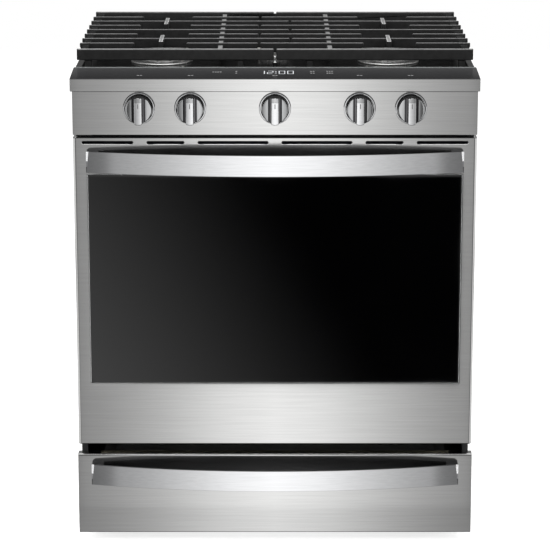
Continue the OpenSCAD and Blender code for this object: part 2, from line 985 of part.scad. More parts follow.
// Supply tubes from the valves' tops back to the burners' throats.
module burner_tubes() {
    color("lightsteelblue")
        for (i = [0 : 4]) {
            start = [knob_xs[i], y_valve + plug_l - plug_set];
            run = burners[i] - start;
            reach = norm(run) - throat_r - pass_gap;
            bend = [start.x, start.y, tube_z];
            end = start + run * reach / norm(run);
            rod([start.x, start.y, z_knob + valve_w / 2], bend, tube_r);
            translate(bend)
                sphere(r = tube_r);
            rod(bend, [end.x, end.y, tube_z], tube_r);
        }
}

regulator_size = [44, 40, 36];
regulator_half = regulator_size / 2;
diaphragm_r = 19;
diaphragm_drop = 16;
inlet_r = 14;
inlet_bore_r = 9.3;
inlet_depth = 18;
inlet_set = 2;
lever_pin_r = 4;
lever_pin_l = 11;
lever_hub_r = 8;
lever_hub_l = 6;
lever_l = 44;
lever_w = 10;
lever_t = 3;
lever_gap = 0.5;
lever_x = supply_x - regulator_half.x;
lever_y = y_regulator + regulator_half.y;

// Gas regulator: a block with a round diaphragm case below and its inlet at the back.
module regulator() {
    y1 = y_regulator + regulator_size.y;
    inlet_end = y_back - inlet_set;
    bottom = z_knob - regulator_half.z;
    color("silver")
        difference() {
            union() {
                block([lever_x, y_regulator, bottom],
                    [supply_x + regulator_half.x, y1, z_knob + regulator_half.z]);
                translate([supply_x, lever_y, bottom - diaphragm_drop])
                    cylinder(r = diaphragm_r, h = diaphragm_drop + lever_t + cut);
                shaft(supply_x, y1 - cut, z_knob, inlet_r, inlet_end - y1 + cut);
            }
            shaft(supply_x, inlet_end - inlet_depth, z_knob, inlet_bore_r, inlet_depth + cut);
            rod([lever_x - cut, lever_y, z_knob], [lever_x + lever_pin_l + cut, lever_y, z_knob],
                lever_pin_r + fit_gap);
        }
}

// Shut-off lever: a pin in the regulator's side with a flat arm, in line when open.
module shutoff_lever() {
    out_x = lever_x - lever_hub_l;
    arm_x = out_x + cut;
    color("red") {
        rod([out_x, lever_y, z_knob], [lever_x + lever_pin_l, lever_y, z_knob], lever_pin_r);
        rod([out_x, lever_y, z_knob], [lever_x - lever_gap, lever_y, z_knob], lever_hub_r);
        block([arm_x, lever_y - lever_l, z_knob - lever_w / 2],
            [arm_x + lever_t, lever_y, z_knob + lever_w / 2]);
    }
}

// Oven ------------------------------------------------------------------------------

light_x = cavity_x - 90;
light_z = z_cavity_top - 52;
light_r = 18;
light_l = 50;
light_flange = [24, 8];
lamp_r = 20;
sensor_x = -cavity_x + 60;
sensor_z = z_cavity_top - 18;
sensor_r = 2.5;
sensor_in = 120;
sensor_out = 20;
sensor_flange = [6, 2];
sensor_gap = 0.8;
fan_shaft_r = 3;
fan_shaft_gap = 3;
frame_gap = 0.5;

// Oven liner: an open box with its front frame and the pressed ledges for the racks.
module oven_liner() {
    t = sheet_t;
    color([0.16, 0.17, 0.2])
        difference() {
            union() {
                block([-cavity_x - t, y_cabinet, z_cavity - t],
                    [cavity_x + t, y_cavity + t, z_cavity_top + t]);
                block([-frame_x, y_cabinet, frame_low], [frame_x, y_cabinet + t, frame_top]);
            }
            difference() {
                block([-cavity_x, y_cabinet - cut, z_cavity],
                    [cavity_x, y_cavity, z_cavity_top]);
                for (i = [0 : rack_levels - 1])
                    both_sides()
                        rack_ledge(z_cavity + first_level + i * rack_pitch);
            }
            both_sides()
                block([hinge_x - arm_half - frame_gap, y_cabinet - cut,
                        z_hinge - arm_h / 2 - pass_gap],
                    [hinge_x + arm_half + frame_gap, y_cabinet + t + cut,
                        z_hinge + arm_h / 2 + frame_gap]);
            shaft(0, y_cavity - cut, z_fan, fan_shaft_r + fan_shaft_gap, t + 2 * cut);
            shaft(light_x, y_cavity - cut, light_z, light_r + pass_gap, t + 2 * cut);
            shaft(sensor_x, y_cavity - cut, sensor_z, sensor_r + sensor_gap, t + 2 * cut);
        }
}

// A ledge on the right wall of the cavity.
module rack_ledge(z) {
    block([cavity_x - ledge_w, rack_y0 - ledge_past, z],
        [cavity_x + cut, rack_y1 + ledge_past, z + ledge_t]);
}

z_wool = frame_low;
wool_back = 25;
wool_side_gap = 3.8;
wool_floor = 10;
chamber_x = cavity_x - 12;
motor_r = 38;
motor_l = 52;

// Insulation around the liner, with the bake burner's chamber below it.
module insulation() {
    t = sheet_t;
    outer_x = hinge_x - receiver_half - wool_side_gap;
    color("khaki")
        difference() {
            block([-outer_x, y_cabinet + t, z_wool],
                [outer_x, y_cavity + t + wool_back, z_cavity_top + t + wool_t]);
            block([-cavity_x - t, y_cabinet, z_cavity - t],
                [cavity_x + t, y_cavity + t, z_cavity_top + t]);
            block([-chamber_x, y_cabinet, z_wool + wool_floor], [chamber_x, y_cavity, z_cavity]);
            shaft(0, y_cavity, z_fan, motor_r + pass_gap, 2 * wool_back);
            shaft(light_x, y_cavity, light_z, light_r + pass_gap, 2 * wool_back);
            shaft(sensor_x, y_cavity, sensor_z, sensor_flange[0], 2 * wool_back);
        }
}

gasket_set = 4;
gasket_w = 9;

// Woven gasket around the oven's opening.
module oven_gasket() {
    in_x = cavity_x + gasket_set;
    w = gasket_w;
    color("dimgray")
        from_front(liner_y + sheet_t + pass_gap, y_cabinet - liner_y - sheet_t - pass_gap)
            difference() {
                translate([-in_x - w, z_cavity - gasket_set - w])
                    square([2 * (in_x + w), cavity_h + 2 * (gasket_set + w)]);
                translate([-in_x, z_cavity - gasket_set])
                    square([2 * in_x, cavity_h + 2 * gasket_set]);
            }
}

bake_side = 176;
bake_x = cavity_x - bake_side;
bake_r = 7;
bake_drop = 5;
bake_inset = [70, 60];
bracket = [6, 12];
bracket_set = 30;

// Bake burner under the oven's floor: a tube loop on brackets.
module bake_burner() {
    z = z_cavity - sheet_t - bake_drop - bake_r;
    y0 = y_cabinet + bake_inset[0];
    y1 = y_cavity - bake_inset[1];
    color("silver") {
        for (s = [-1, 1]) {
            rod([s * bake_x, y0, z], [s * bake_x, y1, z], bake_r);
            for (y = [y0 + bracket_set, y1 - bracket_set])
                block([s * bake_x - bracket.x / 2, y - bracket.y / 2, z],
                    [s * bake_x + bracket.x / 2, y + bracket.y / 2, z_cavity - sheet_t]);
        }
        for (y = [y0, y1])
            rod([-bake_x, y, z], [bake_x, y, z], bake_r);
    }
}

broil_side = 156;
broil_x = cavity_x - broil_side;
broil_h = 16;
broil_inset = [60, 70];
hanger = [16, 10];
hanger_set = 30;

// Broil burner at the cavity's top: a shallow box on two hangers.
module broil_burner() {
    y0 = y_cabinet + broil_inset[0];
    y1 = y_cavity - broil_inset[1];
    color("silver") {
        block([-broil_x, y0, z_broil], [broil_x, y1, z_broil + broil_h]);
        for (y = [y0 + hanger_set, y1 - hanger_set - hanger.y])
            block([-hanger.x / 2, y, z_broil], [hanger.x / 2, y + hanger.y, z_cavity_top]);
    }
}

// Oven light: a socket through the back wall with a glass dome in front.
module oven_light() {
    y0 = y_cavity - light_flange[1];
    color("wheat") {
        shaft(light_x, y_cavity, light_z, light_r, light_l);
        shaft(light_x, y0, light_z, light_flange[0], light_flange[1]);
        translate([light_x, y0, light_z])
            sphere(r = lamp_r);
    }
}

// Temperature sensor: a thin probe held in the back wall.
module temperature_sensor() {
    color("silver") {
        shaft(sensor_x, y_cavity - sensor_in, sensor_z, sensor_r, sensor_in + sensor_out);
        shaft(sensor_x, y_cavity - sensor_flange[1], sensor_z, sensor_flange[0],
            sensor_flange[1]);
    }
}

fan_hub = [12, 18];
fan_disc_t = 1.5;
fan_set = 8;
fan_room = 25;
fan_shaft_end = 36;
motor_bore = 40;
vane = [14, 15, 1.6];

// Fan motor behind the oven's back wall, bored for the fan's shaft.
module fan_motor() {
    color("gray")
        difference() {
            shaft(0, y_cavity + sheet_t, z_fan, motor_r, motor_l);
            shaft(0, y_cavity, z_fan, fan_shaft_r + fit_gap, motor_bore);
        }
}

// Convection fan: eight blades on a hub and shaft.
module fan_blade() {
    y0 = y_fan_cover + fan_set;
    disc_y = y0 + fan_hub[1] - 2;
    disc_r = fan_r - fan_room;
    color("lightgray") {
        shaft(0, y0, z_fan, fan_shaft_r, y_cavity + fan_shaft_end - y0);
        shaft(0, y0, z_fan, fan_hub[0], fan_hub[1]);
        shaft(0, disc_y, z_fan, disc_r, fan_disc_t);
        for (a = [0 : 45 : 315])
            translate([0, disc_y - vane.y + cut, z_fan])
                rotate([0, a, 0])
                    translate([vane.x, 0, -vane.z / 2])
                        cube([disc_r - vane.x - cut, vane.y, vane.z]);
    }
}

cover_t = 1.5;
cover_slot = 5;
cover_hub = 28;
cover_edge = 17;

// Fan cover: a shallow drum with a ring of slots, fixed to the back wall.
module fan_cover() {
    color([0.2, 0.2, 0.23])
        difference() {
            shaft(0, y_fan_cover, z_fan, fan_r, y_cavity - y_fan_cover);
            shaft(0, y_fan_cover + cover_t, z_fan, fan_r - cover_t, y_cavity - y_fan_cover);
            for (a = [0 : 30 : 330])
                translate([0, y_fan_cover - cut, z_fan])
                    rotate([0, a, 0])
                        translate([cover_hub, 0, -cover_slot / 2])
                            cube([fan_r - cover_hub - cover_edge, cover_t + 2 * cut, cover_slot]);
        }
}

rack_wire_r = 1.8;
rack_wires = 16;

// One wire rack, resting on the ledges of a level.
module rack(level) {
    z = z_cavity + first_level + level * rack_pitch + ledge_t + rack_rest + rack_r;
    x = cavity_x - ledge_w / 2;
    step = 2 * x / (rack_wires + 1);
    color("silver") {
        for (s = [-1, 1])
            rod([s * x, rack_y0, z], [s * x, rack_y1, z], rack_r);
        for (y = [rack_y0, (rack_y0 + rack_y1) / 2, rack_y1])
            rod([-x - rack_r, y, z], [x + rack_r, y, z], rack_r);
        for (i = [1 : rack_wires])
            rod([-x + i * step, rack_y0, z + 0.5], [-x + i * step, rack_y1, z + 0.5], rack_wire_r);
    }
}

module rack_upper() {
    rack(rack_levels - 2);
}

module rack_lower() {
    rack(1);
}

// Door ------------------------------------------------------------------------------

glass_gap = 0.4;
glass_set = 0.2;
glass_z1 = z_door_top - glass_drop;
glass_z0 = glass_z1 - glass_h;
seat_w = 9;
corner_r = 6;

// Vent slots of the door, one side's from the middle out: each from one place to another
vent_first = 12.5;
vent_edge = 16.85;
vent_bridge = 25.3;
vent_mid_w = 69.8;
vent_outer_w = 95.4;
vent_outer = door_x - vent_edge - vent_outer_w;
vent_mid = vent_outer - vent_bridge - vent_mid_w;
vents = [
    [vent_first, vent_mid - vent_bridge], [vent_mid, vent_mid + vent_mid_w],
    [vent_outer, vent_outer + vent_outer_w]
];
channel_gap = 1.5;

// Door skin: a pressed tray with round front corners, a seat for the glass and vent slots.
module door_skin() {
    t = skin_t;
    seat_y = glass_t + glass_set;
    color("silver")
        difference() {
            union() {
                difference() {
                    translate([0, y_face, z_door])
                        linear_extrude(door_h)
                            round_front_2d(door_x, skin_d, corner_r);
                    translate([0, y_face + t, z_door + t])
                        linear_extrude(door_h - 2 * t)
                            round_front_2d(door_x - t, skin_d, corner_r - t);
                }
                block([-glass_x - t - glass_gap, y_face, glass_z0 - t - glass_gap],
                    [glass_x + t + glass_gap, y_face + seat_y + t, glass_z1 + t + glass_gap]);
            }
            block([-glass_x - glass_gap, y_face - cut, glass_z0 - glass_gap],
                [glass_x + glass_gap, y_face + seat_y, glass_z1 + glass_gap]);
            block([-glass_x + seat_w, y_face, glass_z0 + seat_w],
                [glass_x - seat_w, y_face + seat_y + t + cut, glass_z1 - seat_w]);
            both_sides() {
                for (v = vents)
                    translate([(v[0] + v[1]) / 2, 0, z_door_top - slot_drop - slot_h / 2])
                        from_front(y_face - cut, t + 2 * cut)
                            slot_2d(v[1] - v[0], slot_h);
                block([hinge_x - arm_half - channel_gap, y_hinge - 10, z_door - cut],
                    [hinge_x + arm_half + channel_gap, y_face + skin_d + cut, z_door + t + cut]);
            }
        }
}

// Outer glass of the door.
module door_glass() {
    color("black")
        block([-glass_x, y_face + glass_set, glass_z0],
            [glass_x, y_face + glass_set + glass_t, glass_z1]);
}

plug_gap = 8;
liner_inset = [2, 6, 3];
inner_lap = 12;

// Inner panel of the door: a plate with a raised middle that fills the oven's opening.
module door_liner() {
    t = sheet_t;
    rise_x = cavity_x - plug_gap;
    rise_z0 = z_cavity + plug_gap;
    rise_z1 = z_cavity_top - plug_gap;
    plate_x = door_x - liner_inset[0];
    color([0.14, 0.15, 0.18])
        difference() {
            union() {
                block([-plate_x, liner_y, z_door + liner_inset[1]],
                    [plate_x, liner_y + t, z_door_top - liner_inset[2]]);
                block([-rise_x, liner_y, rise_z0], [rise_x, plug_y, rise_z1]);
            }
            block([-rise_x + t, liner_y - cut, rise_z0 + t], [rise_x - t, plug_y - t, rise_z1 - t]);
            block([-window_w / 2, liner_y, window_z],
                [window_w / 2, plug_y + cut, window_z + window_h]);
            both_sides()
                block([hinge_x - arm_half - channel_gap, liner_y - cut, z_door],
                    [hinge_x + arm_half + channel_gap, liner_y + t + cut, z_hinge + arm_h / 2 + 2]);
        }
}

// Inner glass of the door, behind the window of the inner panel.
module door_inner_glass() {
    y1 = plug_y - sheet_t;
    color([0.3, 0.3, 0.3])
        block([-window_w / 2 - inner_lap, y1 - glass_t, window_z - inner_lap],
            [window_w / 2 + inner_lap, y1, window_z + window_h + inner_lap]);
}

// A bowed handle: a flat band on two end posts, its outer face at the height z0 to z0 + handle_h.
module bowed_handle(z0) {
    sag = handle_out - handle_end;
    bow_r = (handle_reach * handle_reach + sag * sag) / (2 * sag);
    bow_y = y_face - handle_out + bow_r;
    color("gainsboro")
        translate([0, 0, z0])
            linear_extrude(handle_h) {
                intersection() {
                    difference() {
                        translate([0, bow_y])
                            circle(r = bow_r, $fn = 720);
                        translate([0, bow_y])
                            circle(r = bow_r - handle_t, $fn = 720);
                    }
                    translate([-handle_reach, y_face - handle_out - cut])
                        square([2 * handle_reach, handle_out + cut]);
                }
                intersection() {
                    translate([0, bow_y])
                        circle(r = bow_r, $fn = 720);
                    for (s = [-1, 1])
                        translate([s * (handle_reach - post_l / 2) - post_l / 2, y_face - handle_out])
                            square([post_l, handle_out]);
                }
            }
}

module door_handle() {
    bowed_handle(z_door_top - door_handle_drop - handle_h);
}

cheek = 2;
channel_set = 16;
channel_low = 7;
channel_top = 220;
web_low = 14;

// Hinge channels in the door: two cheeks each, joined by a web, with the hinge pin.
module hinge_channels() {
    out = arm_half + frame_gap;
    y0 = y_face + channel_set;
    color("silver")
        both_sides()
            translate([hinge_x, 0, 0]) {
                for (s = [-1, 1])
                    translate([s * (out + cheek / 2), 0, 0])
                        block([-cheek / 2, y0, z_door + channel_low],
                            [cheek / 2, liner_y, z_door + channel_top]);
                block([-out - cheek, y0, z_hinge + web_low],
                    [out + cheek, y0 + cheek, z_door + channel_top]);
                rod([-out - cheek, y_hinge, z_hinge], [out + cheek, y_hinge, z_hinge], hinge_pin_r);
            }
}

arm_in = 66;

// Hinge arms, hooked in the cabinet, each with a hole for the hinge pin.
module hinge_arms() {
    half = arm_h / 2;
    color("gray")
        both_sides()
            difference() {
                union() {
                    block([hinge_x - arm_half, y_hinge, z_hinge - half],
                        [hinge_x + arm_half, y_cabinet + arm_in, z_hinge + half]);
                    rod([hinge_x - arm_half, y_hinge, z_hinge],
                        [hinge_x + arm_half, y_hinge, z_hinge], half);
                }
                rod([hinge_x - arm_half - cut, y_hinge, z_hinge],
                    [hinge_x + arm_half + cut, y_hinge, z_hinge], hinge_pin_r + fit_gap);
            }
}

receiver_low = 4;
receiver_up = 6;
receiver_in = 78;

// Hinge receivers: slotted blocks behind the front frame that hold the arms.
module hinge_receivers() {
    half = arm_h / 2;
    slot = arm_half + pass_gap;
    color("dimgray")
        both_sides()
            difference() {
                block([hinge_x - receiver_half, y_cabinet + sheet_t, z_hinge - half - receiver_low],
                    [hinge_x + receiver_half, y_cabinet + receiver_in,
                        z_hinge + half + receiver_up]);
                block([hinge_x - slot, y_cabinet, z_hinge - half],
                    [hinge_x + slot, y_cabinet + arm_in + cut, z_hinge + half + pass_gap]);
            }
}

// Drawer ----------------------------------------------------------------------------

rail_x0 = side_x - 22;
groove_x1 = frame_x;
tongue_x1 = groove_x1 - slide_gap;
rail_y0 = y_cabinet + sheet_t + 2;
rail_y1 = rail_y0 + drawer_box_d - 24;
rail_end = 4;
lip = 4;
slide_end = 2;

// Fixed rails: channels on the side panels, open towards the drawer.
module drawer_rails() {
    color("silver")
        both_sides()
            difference() {
                block([rail_x0, rail_y0, rail_z - rail_h / 2], [side_in, rail_y1, rail_z + rail_h / 2]);
                block([rail_x0 - cut, rail_y0 - cut, rail_z - rail_h / 2 + lip],
                    [groove_x1, rail_y1 - rail_end, rail_z + rail_h / 2 - lip]);
            }
}

// Moving slides: bars on the drawer's sides that run in the rails.
module drawer_slides() {
    half = rail_h / 2 - lip - slide_gap;
    color("lightgray")
        both_sides()
            block([drawer_half, rail_y0, rail_z - half],
                [tongue_x1, rail_y1 - rail_end - slide_end, rail_z + half]);
}

// Drawer box: an open sheet tray.
module drawer_box() {
    t = sheet_t;
    top = drawer_box_z + drawer_box_h;
    color("dimgray")
        difference() {
            block([-drawer_half, y_drawer_box, drawer_box_z], [drawer_half, y_drawer_end, top]);
            block([-drawer_half + t, y_drawer_box + t, drawer_box_z + t],
                [drawer_half - t, y_drawer_end - t, top + cut]);
        }
}

drawer_edge_r = 4;

// Drawer front: a pressed front with a rounded upper edge, closed by an inner plate.
module drawer_front() {
    t = skin_t;
    x = side_x + drawer_over;
    r = drawer_edge_r;
    color("silver")
        difference() {
            union() {
                block([-x, y_face + r, z_drawer], [x, y_drawer_box, z_drawer_top]);
                block([-x, y_face, z_drawer], [x, y_face + r, z_drawer_top - r]);
                rod([-x, y_face + r, z_drawer_top - r], [x, y_face + r, z_drawer_top - r], r);
            }
            block([-x + t, y_face + r, z_drawer - cut],
                [x - t, y_drawer_box - t, z_drawer_top - r - t]);
        }
}

module drawer_handle() {
    bowed_handle(z_drawer_top - drawer_handle_drop - handle_h);
}

side_panel_left();
side_panel_right();
base_frame();
back_panel();
back_screws();
levelling_legs();
cooktop_pan();
console_housing();
touch_glass();
control_board();
front_trim();
control_panel();
knob_bezels();
gas_manifold();
valve_bodies();
burner_tubes();
regulator();
shutoff_lever();
burner_heads();
burner_caps();
spark_electrodes();
grate_pin();
grate_left();
grate_right();
oven_liner();
insulation();
oven_gasket();
bake_burner();
broil_burner();
oven_light();
temperature_sensor();
fan_motor();
fan_blade();
fan_cover();
rack_upper();
rack_lower();
hinge_receivers();
hinge_arms();
hinge_channels();
door_skin();
door_glass();
door_liner();
door_inner_glass();
door_handle();
drawer_rails();
drawer_slides();
drawer_box();
drawer_front();
drawer_handle();
power_gland();
knob_1();
knob_2();
knob_3();
knob_4();
knob_5();
valve_stem_1();
valve_stem_2();
valve_stem_3();
valve_stem_4();
valve_stem_5();
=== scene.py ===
"""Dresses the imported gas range: its metal, glass, enamel and iron pieces, and the studio it stands in."""
import json
import math

import bmesh
import bpy
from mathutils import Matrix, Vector

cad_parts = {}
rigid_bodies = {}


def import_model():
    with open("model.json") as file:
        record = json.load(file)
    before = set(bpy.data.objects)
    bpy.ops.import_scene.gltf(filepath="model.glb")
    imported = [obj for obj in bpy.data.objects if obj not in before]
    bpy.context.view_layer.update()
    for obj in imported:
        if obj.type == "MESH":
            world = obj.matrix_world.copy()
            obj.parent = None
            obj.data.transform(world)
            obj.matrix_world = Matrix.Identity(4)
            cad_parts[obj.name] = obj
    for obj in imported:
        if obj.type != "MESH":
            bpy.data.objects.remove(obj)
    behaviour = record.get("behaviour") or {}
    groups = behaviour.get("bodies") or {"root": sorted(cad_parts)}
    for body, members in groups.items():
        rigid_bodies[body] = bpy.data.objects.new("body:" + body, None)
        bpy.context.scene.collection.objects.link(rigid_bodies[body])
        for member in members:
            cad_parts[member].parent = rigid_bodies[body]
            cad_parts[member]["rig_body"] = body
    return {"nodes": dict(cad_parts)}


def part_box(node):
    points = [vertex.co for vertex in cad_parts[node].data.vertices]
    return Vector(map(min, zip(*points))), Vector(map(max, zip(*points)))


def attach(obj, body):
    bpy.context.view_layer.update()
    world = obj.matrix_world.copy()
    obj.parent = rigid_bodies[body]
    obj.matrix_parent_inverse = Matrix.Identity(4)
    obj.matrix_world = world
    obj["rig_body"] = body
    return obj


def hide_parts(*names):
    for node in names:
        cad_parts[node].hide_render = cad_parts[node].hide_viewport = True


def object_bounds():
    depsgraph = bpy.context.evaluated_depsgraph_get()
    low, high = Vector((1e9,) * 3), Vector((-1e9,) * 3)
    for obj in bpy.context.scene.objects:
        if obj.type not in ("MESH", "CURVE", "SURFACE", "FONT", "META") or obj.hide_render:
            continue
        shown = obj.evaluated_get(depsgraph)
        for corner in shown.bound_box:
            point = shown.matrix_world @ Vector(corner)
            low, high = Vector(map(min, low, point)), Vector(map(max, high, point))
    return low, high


bl_info = {
    "name": "Gas Range",
    "version": (1, 0, 0),
    "blender": (4, 5, 0),
    "location": "View3D > Sidebar > Range",
    "description": "Builds the looks of a freestanding gas range round its packed frame",
    "category": "Object",
}

MM = 0.001

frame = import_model()
CAD_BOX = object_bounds()
SLOT_OF = {name: node.data.materials[0].name for name, node in frame["nodes"].items()}


def middle(node):
    """The middle of a CAD node's box."""
    low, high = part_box(node)
    return (low + high) / 2


def face_front(node):
    """How far forward the front of a node is."""
    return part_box(node)[0].y


# ---------------- mesh making


SHARP = math.radians(30)    # a fold that turns more than this is an edge
CURVED = math.radians(0.3)  # and one that turns more than this is part of a curved wall
SMOOTH = 38                 # in degrees, the most that light bends across


def node_mesh(node):
    """A merged copy of a CAD node's triangles, with its flat faces joined."""
    bm = bmesh.new()
    bm.from_mesh(frame["nodes"][node].data)
    bmesh.ops.remove_doubles(bm, verts=bm.verts, dist=1e-6)
    bmesh.ops.dissolve_limit(bm, angle_limit=math.radians(0.5), verts=bm.verts, edges=bm.edges)
    return bm


def sharp_edges(bm):
    """The edges that a sheet or casting would have rounded."""
    return [e for e in bm.edges if e.is_manifold and e.calc_face_angle() > SHARP]


def bevel(bm, edges, width, steps):
    """Rounds these edges, or cuts them off straight in one step."""
    bmesh.ops.bevel(bm, geom=edges, offset=width, segments=steps, profile=0.5, affect="EDGES",
                    clamp_overlap=False)


def round_edges(bm, width, steps=2):
    """Rounds the sharp edges and keeps the shape inside its own box."""
    limits = [(min(v.co[i] for v in bm.verts), max(v.co[i] for v in bm.verts)) for i in range(3)]
    bevel(bm, sharp_edges(bm), width, steps)
    for vert in bm.verts:
        vert.co = [min(max(vert.co[i], low), high) for i, (low, high) in enumerate(limits)]
    shade_faces(bm, width)


def shade_faces(bm, width):
    """Shades roundings and curved walls smooth, and flat faces flat, so that no light bends across them."""
    bm.normal_update()
    strips = {face for face in bm.faces
              if face.calc_area() < 1.3 * width * max(edge.calc_length() for edge in face.edges)}
    for face in bm.faces:
        face.smooth = face in strips or any(
            edge.is_manifold and not strips.intersection(edge.link_faces)
            and CURVED < edge.calc_face_angle() < SHARP
            for edge in face.edges)


def shade_round(bm):
    """Turns a new shape's faces outwards and shades them all smooth."""
    bmesh.ops.recalc_face_normals(bm, faces=bm.faces)
    for face in bm.faces:
        face.smooth = True


def skin(bm, one, two, closed=True):
    """The faces between two rows of points, which run round a ring or, open, stop at its end."""
    faces = []
    for i in range(len(one) - (0 if closed else 1)):
        j = (i + 1) % len(one)
        faces.append(bm.faces.new((one[i], one[j], two[j], two[i])))
    return faces


def dress(bm, pick):
    """Gives each face the finish whose number pick() tells from the face and its middle."""
    for face in bm.faces:
        face.material_index = pick(face, face.calc_center_median())


def join(bm, part):
    """Adds one bmesh to another and frees it."""
    mesh = bpy.data.meshes.new("join")
    part.to_mesh(mesh)
    part.free()
    bm.from_mesh(mesh)
    bpy.data.meshes.remove(mesh)


def add_block(bm, low, high, width=0.0):
    """A block between two corners, with rounded edges."""
    part = bmesh.new()
    bmesh.ops.create_cube(part, size=1.0)
    for vert in part.verts:
        vert.co = [low[i] + (vert.co[i] + 0.5) * (high[i] - low[i]) for i in range(3)]
    if width:
        round_edges(part, width)
    join(bm, part)


def placed(name, data):
    """A new object in the scene."""
    thing = bpy.data.objects.new(name, data)
    bpy.context.scene.collection.objects.link(thing)
    return thing


def made(name, bm, *finishes, smooth=SMOOTH):
    """A mesh object in the scene from a bmesh, with its finishes by name."""
    mesh = bpy.data.meshes.new(name)
    bm.to_mesh(mesh)
    rounded = [face.smooth for face in bm.faces]
    bm.free()
    for one in finishes:
        mesh.materials.append(finish(one))
    mesh.set_sharp_from_angle(angle=math.radians(smooth))
    mesh.polygons.foreach_set("use_smooth", rounded)
    return placed(name, mesh)


def stand_in(piece, node):
    """The piece takes the place of a CAD node: it goes on the node's body, and the node is hidden."""
    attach(piece, frame["nodes"][node]["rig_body"])
    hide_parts(node)


def softened(name, node, width, steps=2, looks=None, pick=None):
    """A CAD node's own shape with rounded edges, in its place."""
    bm = node_mesh(node)
    round_edges(bm, width, steps)
    if pick:
        dress(bm, pick)
    stand_in(made(name, bm, *(looks or [SLOT_OF[node]])), node)


FOLD_ROUND = 1.8 * MM


def front_with_painted_shade(name, node, above=False):
    """A front panel in its node's shape, with painted shade in black on its bottom edge (and, if asked, on
    its top rounding).
    """
    bm = node_mesh(node)
    low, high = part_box(node)
    near = 0.1 * MM
    foot = [e for e in sharp_edges(bm)
            if all(v.co.z < low.z + near and v.co.y < low.y + near for v in e.verts)]
    bevel(bm, foot, FOLD_ROUND, 3)
    round_edges(bm, sizes().sheet_round)

    # painted shade: the foot's fold and the top rounding take the black housing finish, not the steel's own
    def dark(face, at):
        under = face.normal.z < -0.1 and at.z < low.z + 3 * MM
        over = -0.95 < face.normal.y < -0.1 and face.normal.z > 0.3 and at.z > high.z - 2 * MM
        return under or above and over

    dress(bm, dark)
    stand_in(made(name, bm, SLOT_OF[node], "housing_black"), node)


# ---------------- nodes


class Nodes:
    """The node tree of a material or a world, and short ways to fill it."""

    family = "ShaderNode"

    def __init__(self, owner):
        owner.use_nodes = True
        self.tree = owner.node_tree

    def add(self, kind, inputs=None, **settings):
        """A node with its settings and inputs."""
        node = self.tree.nodes.new(self.family + kind)
        for key, value in settings.items():
            setattr(node, key, value)
        return self.fill(node, inputs or {})

    def fill(self, node, inputs):
        """Gives each of a node's inputs a socket to link or a plain value."""
        for name, value in inputs.items():
            if isinstance(value, bpy.types.NodeSocket):
                self.tree.links.new(value, node.inputs[name])
            else:
                node.inputs[name].default_value = value
        return node

    def math(self, operation, *values):
        return self.add("Math", dict(enumerate(values)), operation=operation).outputs[0]

    def ranged(self, value, start, end, low=0.0, high=1.0, curve="LINEAR"):
        """Carries a value from its own range to another one."""
        inputs = {"Value": value, "From Min": start, "From Max": end, "To Min": low, "To Max": high}
        return self.add("MapRange", inputs, interpolation_type=curve).outputs["Result"]

    def step(self, value, start, end, low=0.0, high=1.0):
        """The same, with a gentle start and end."""
        return self.ranged(value, start, end, low, high, "SMOOTHSTEP")

    def place(self, space="Object"):
        """A point's place in its object, or for the room the way to it."""
        return self.add("TexCoord").outputs[space]

    def axes(self, space="Object"):
        return self.add("SeparateXYZ", {0: self.place(space)}).outputs

    def rays(self):
        """Whether a ray is seen straight or through glass, and whether it comes off a gloss."""
        path = self.add("LightPath").outputs
        seen = self.math("MAXIMUM", path["Is Camera Ray"], path["Is Transmission Ray"])
        return seen, path["Is Glossy Ray"]


def opaque(colour):
    """A colour with no see-through. A single number is a grey."""
    return (colour, colour, colour, 1) if isinstance(colour, float) else (*colour, 1)


# ---------------- finishes


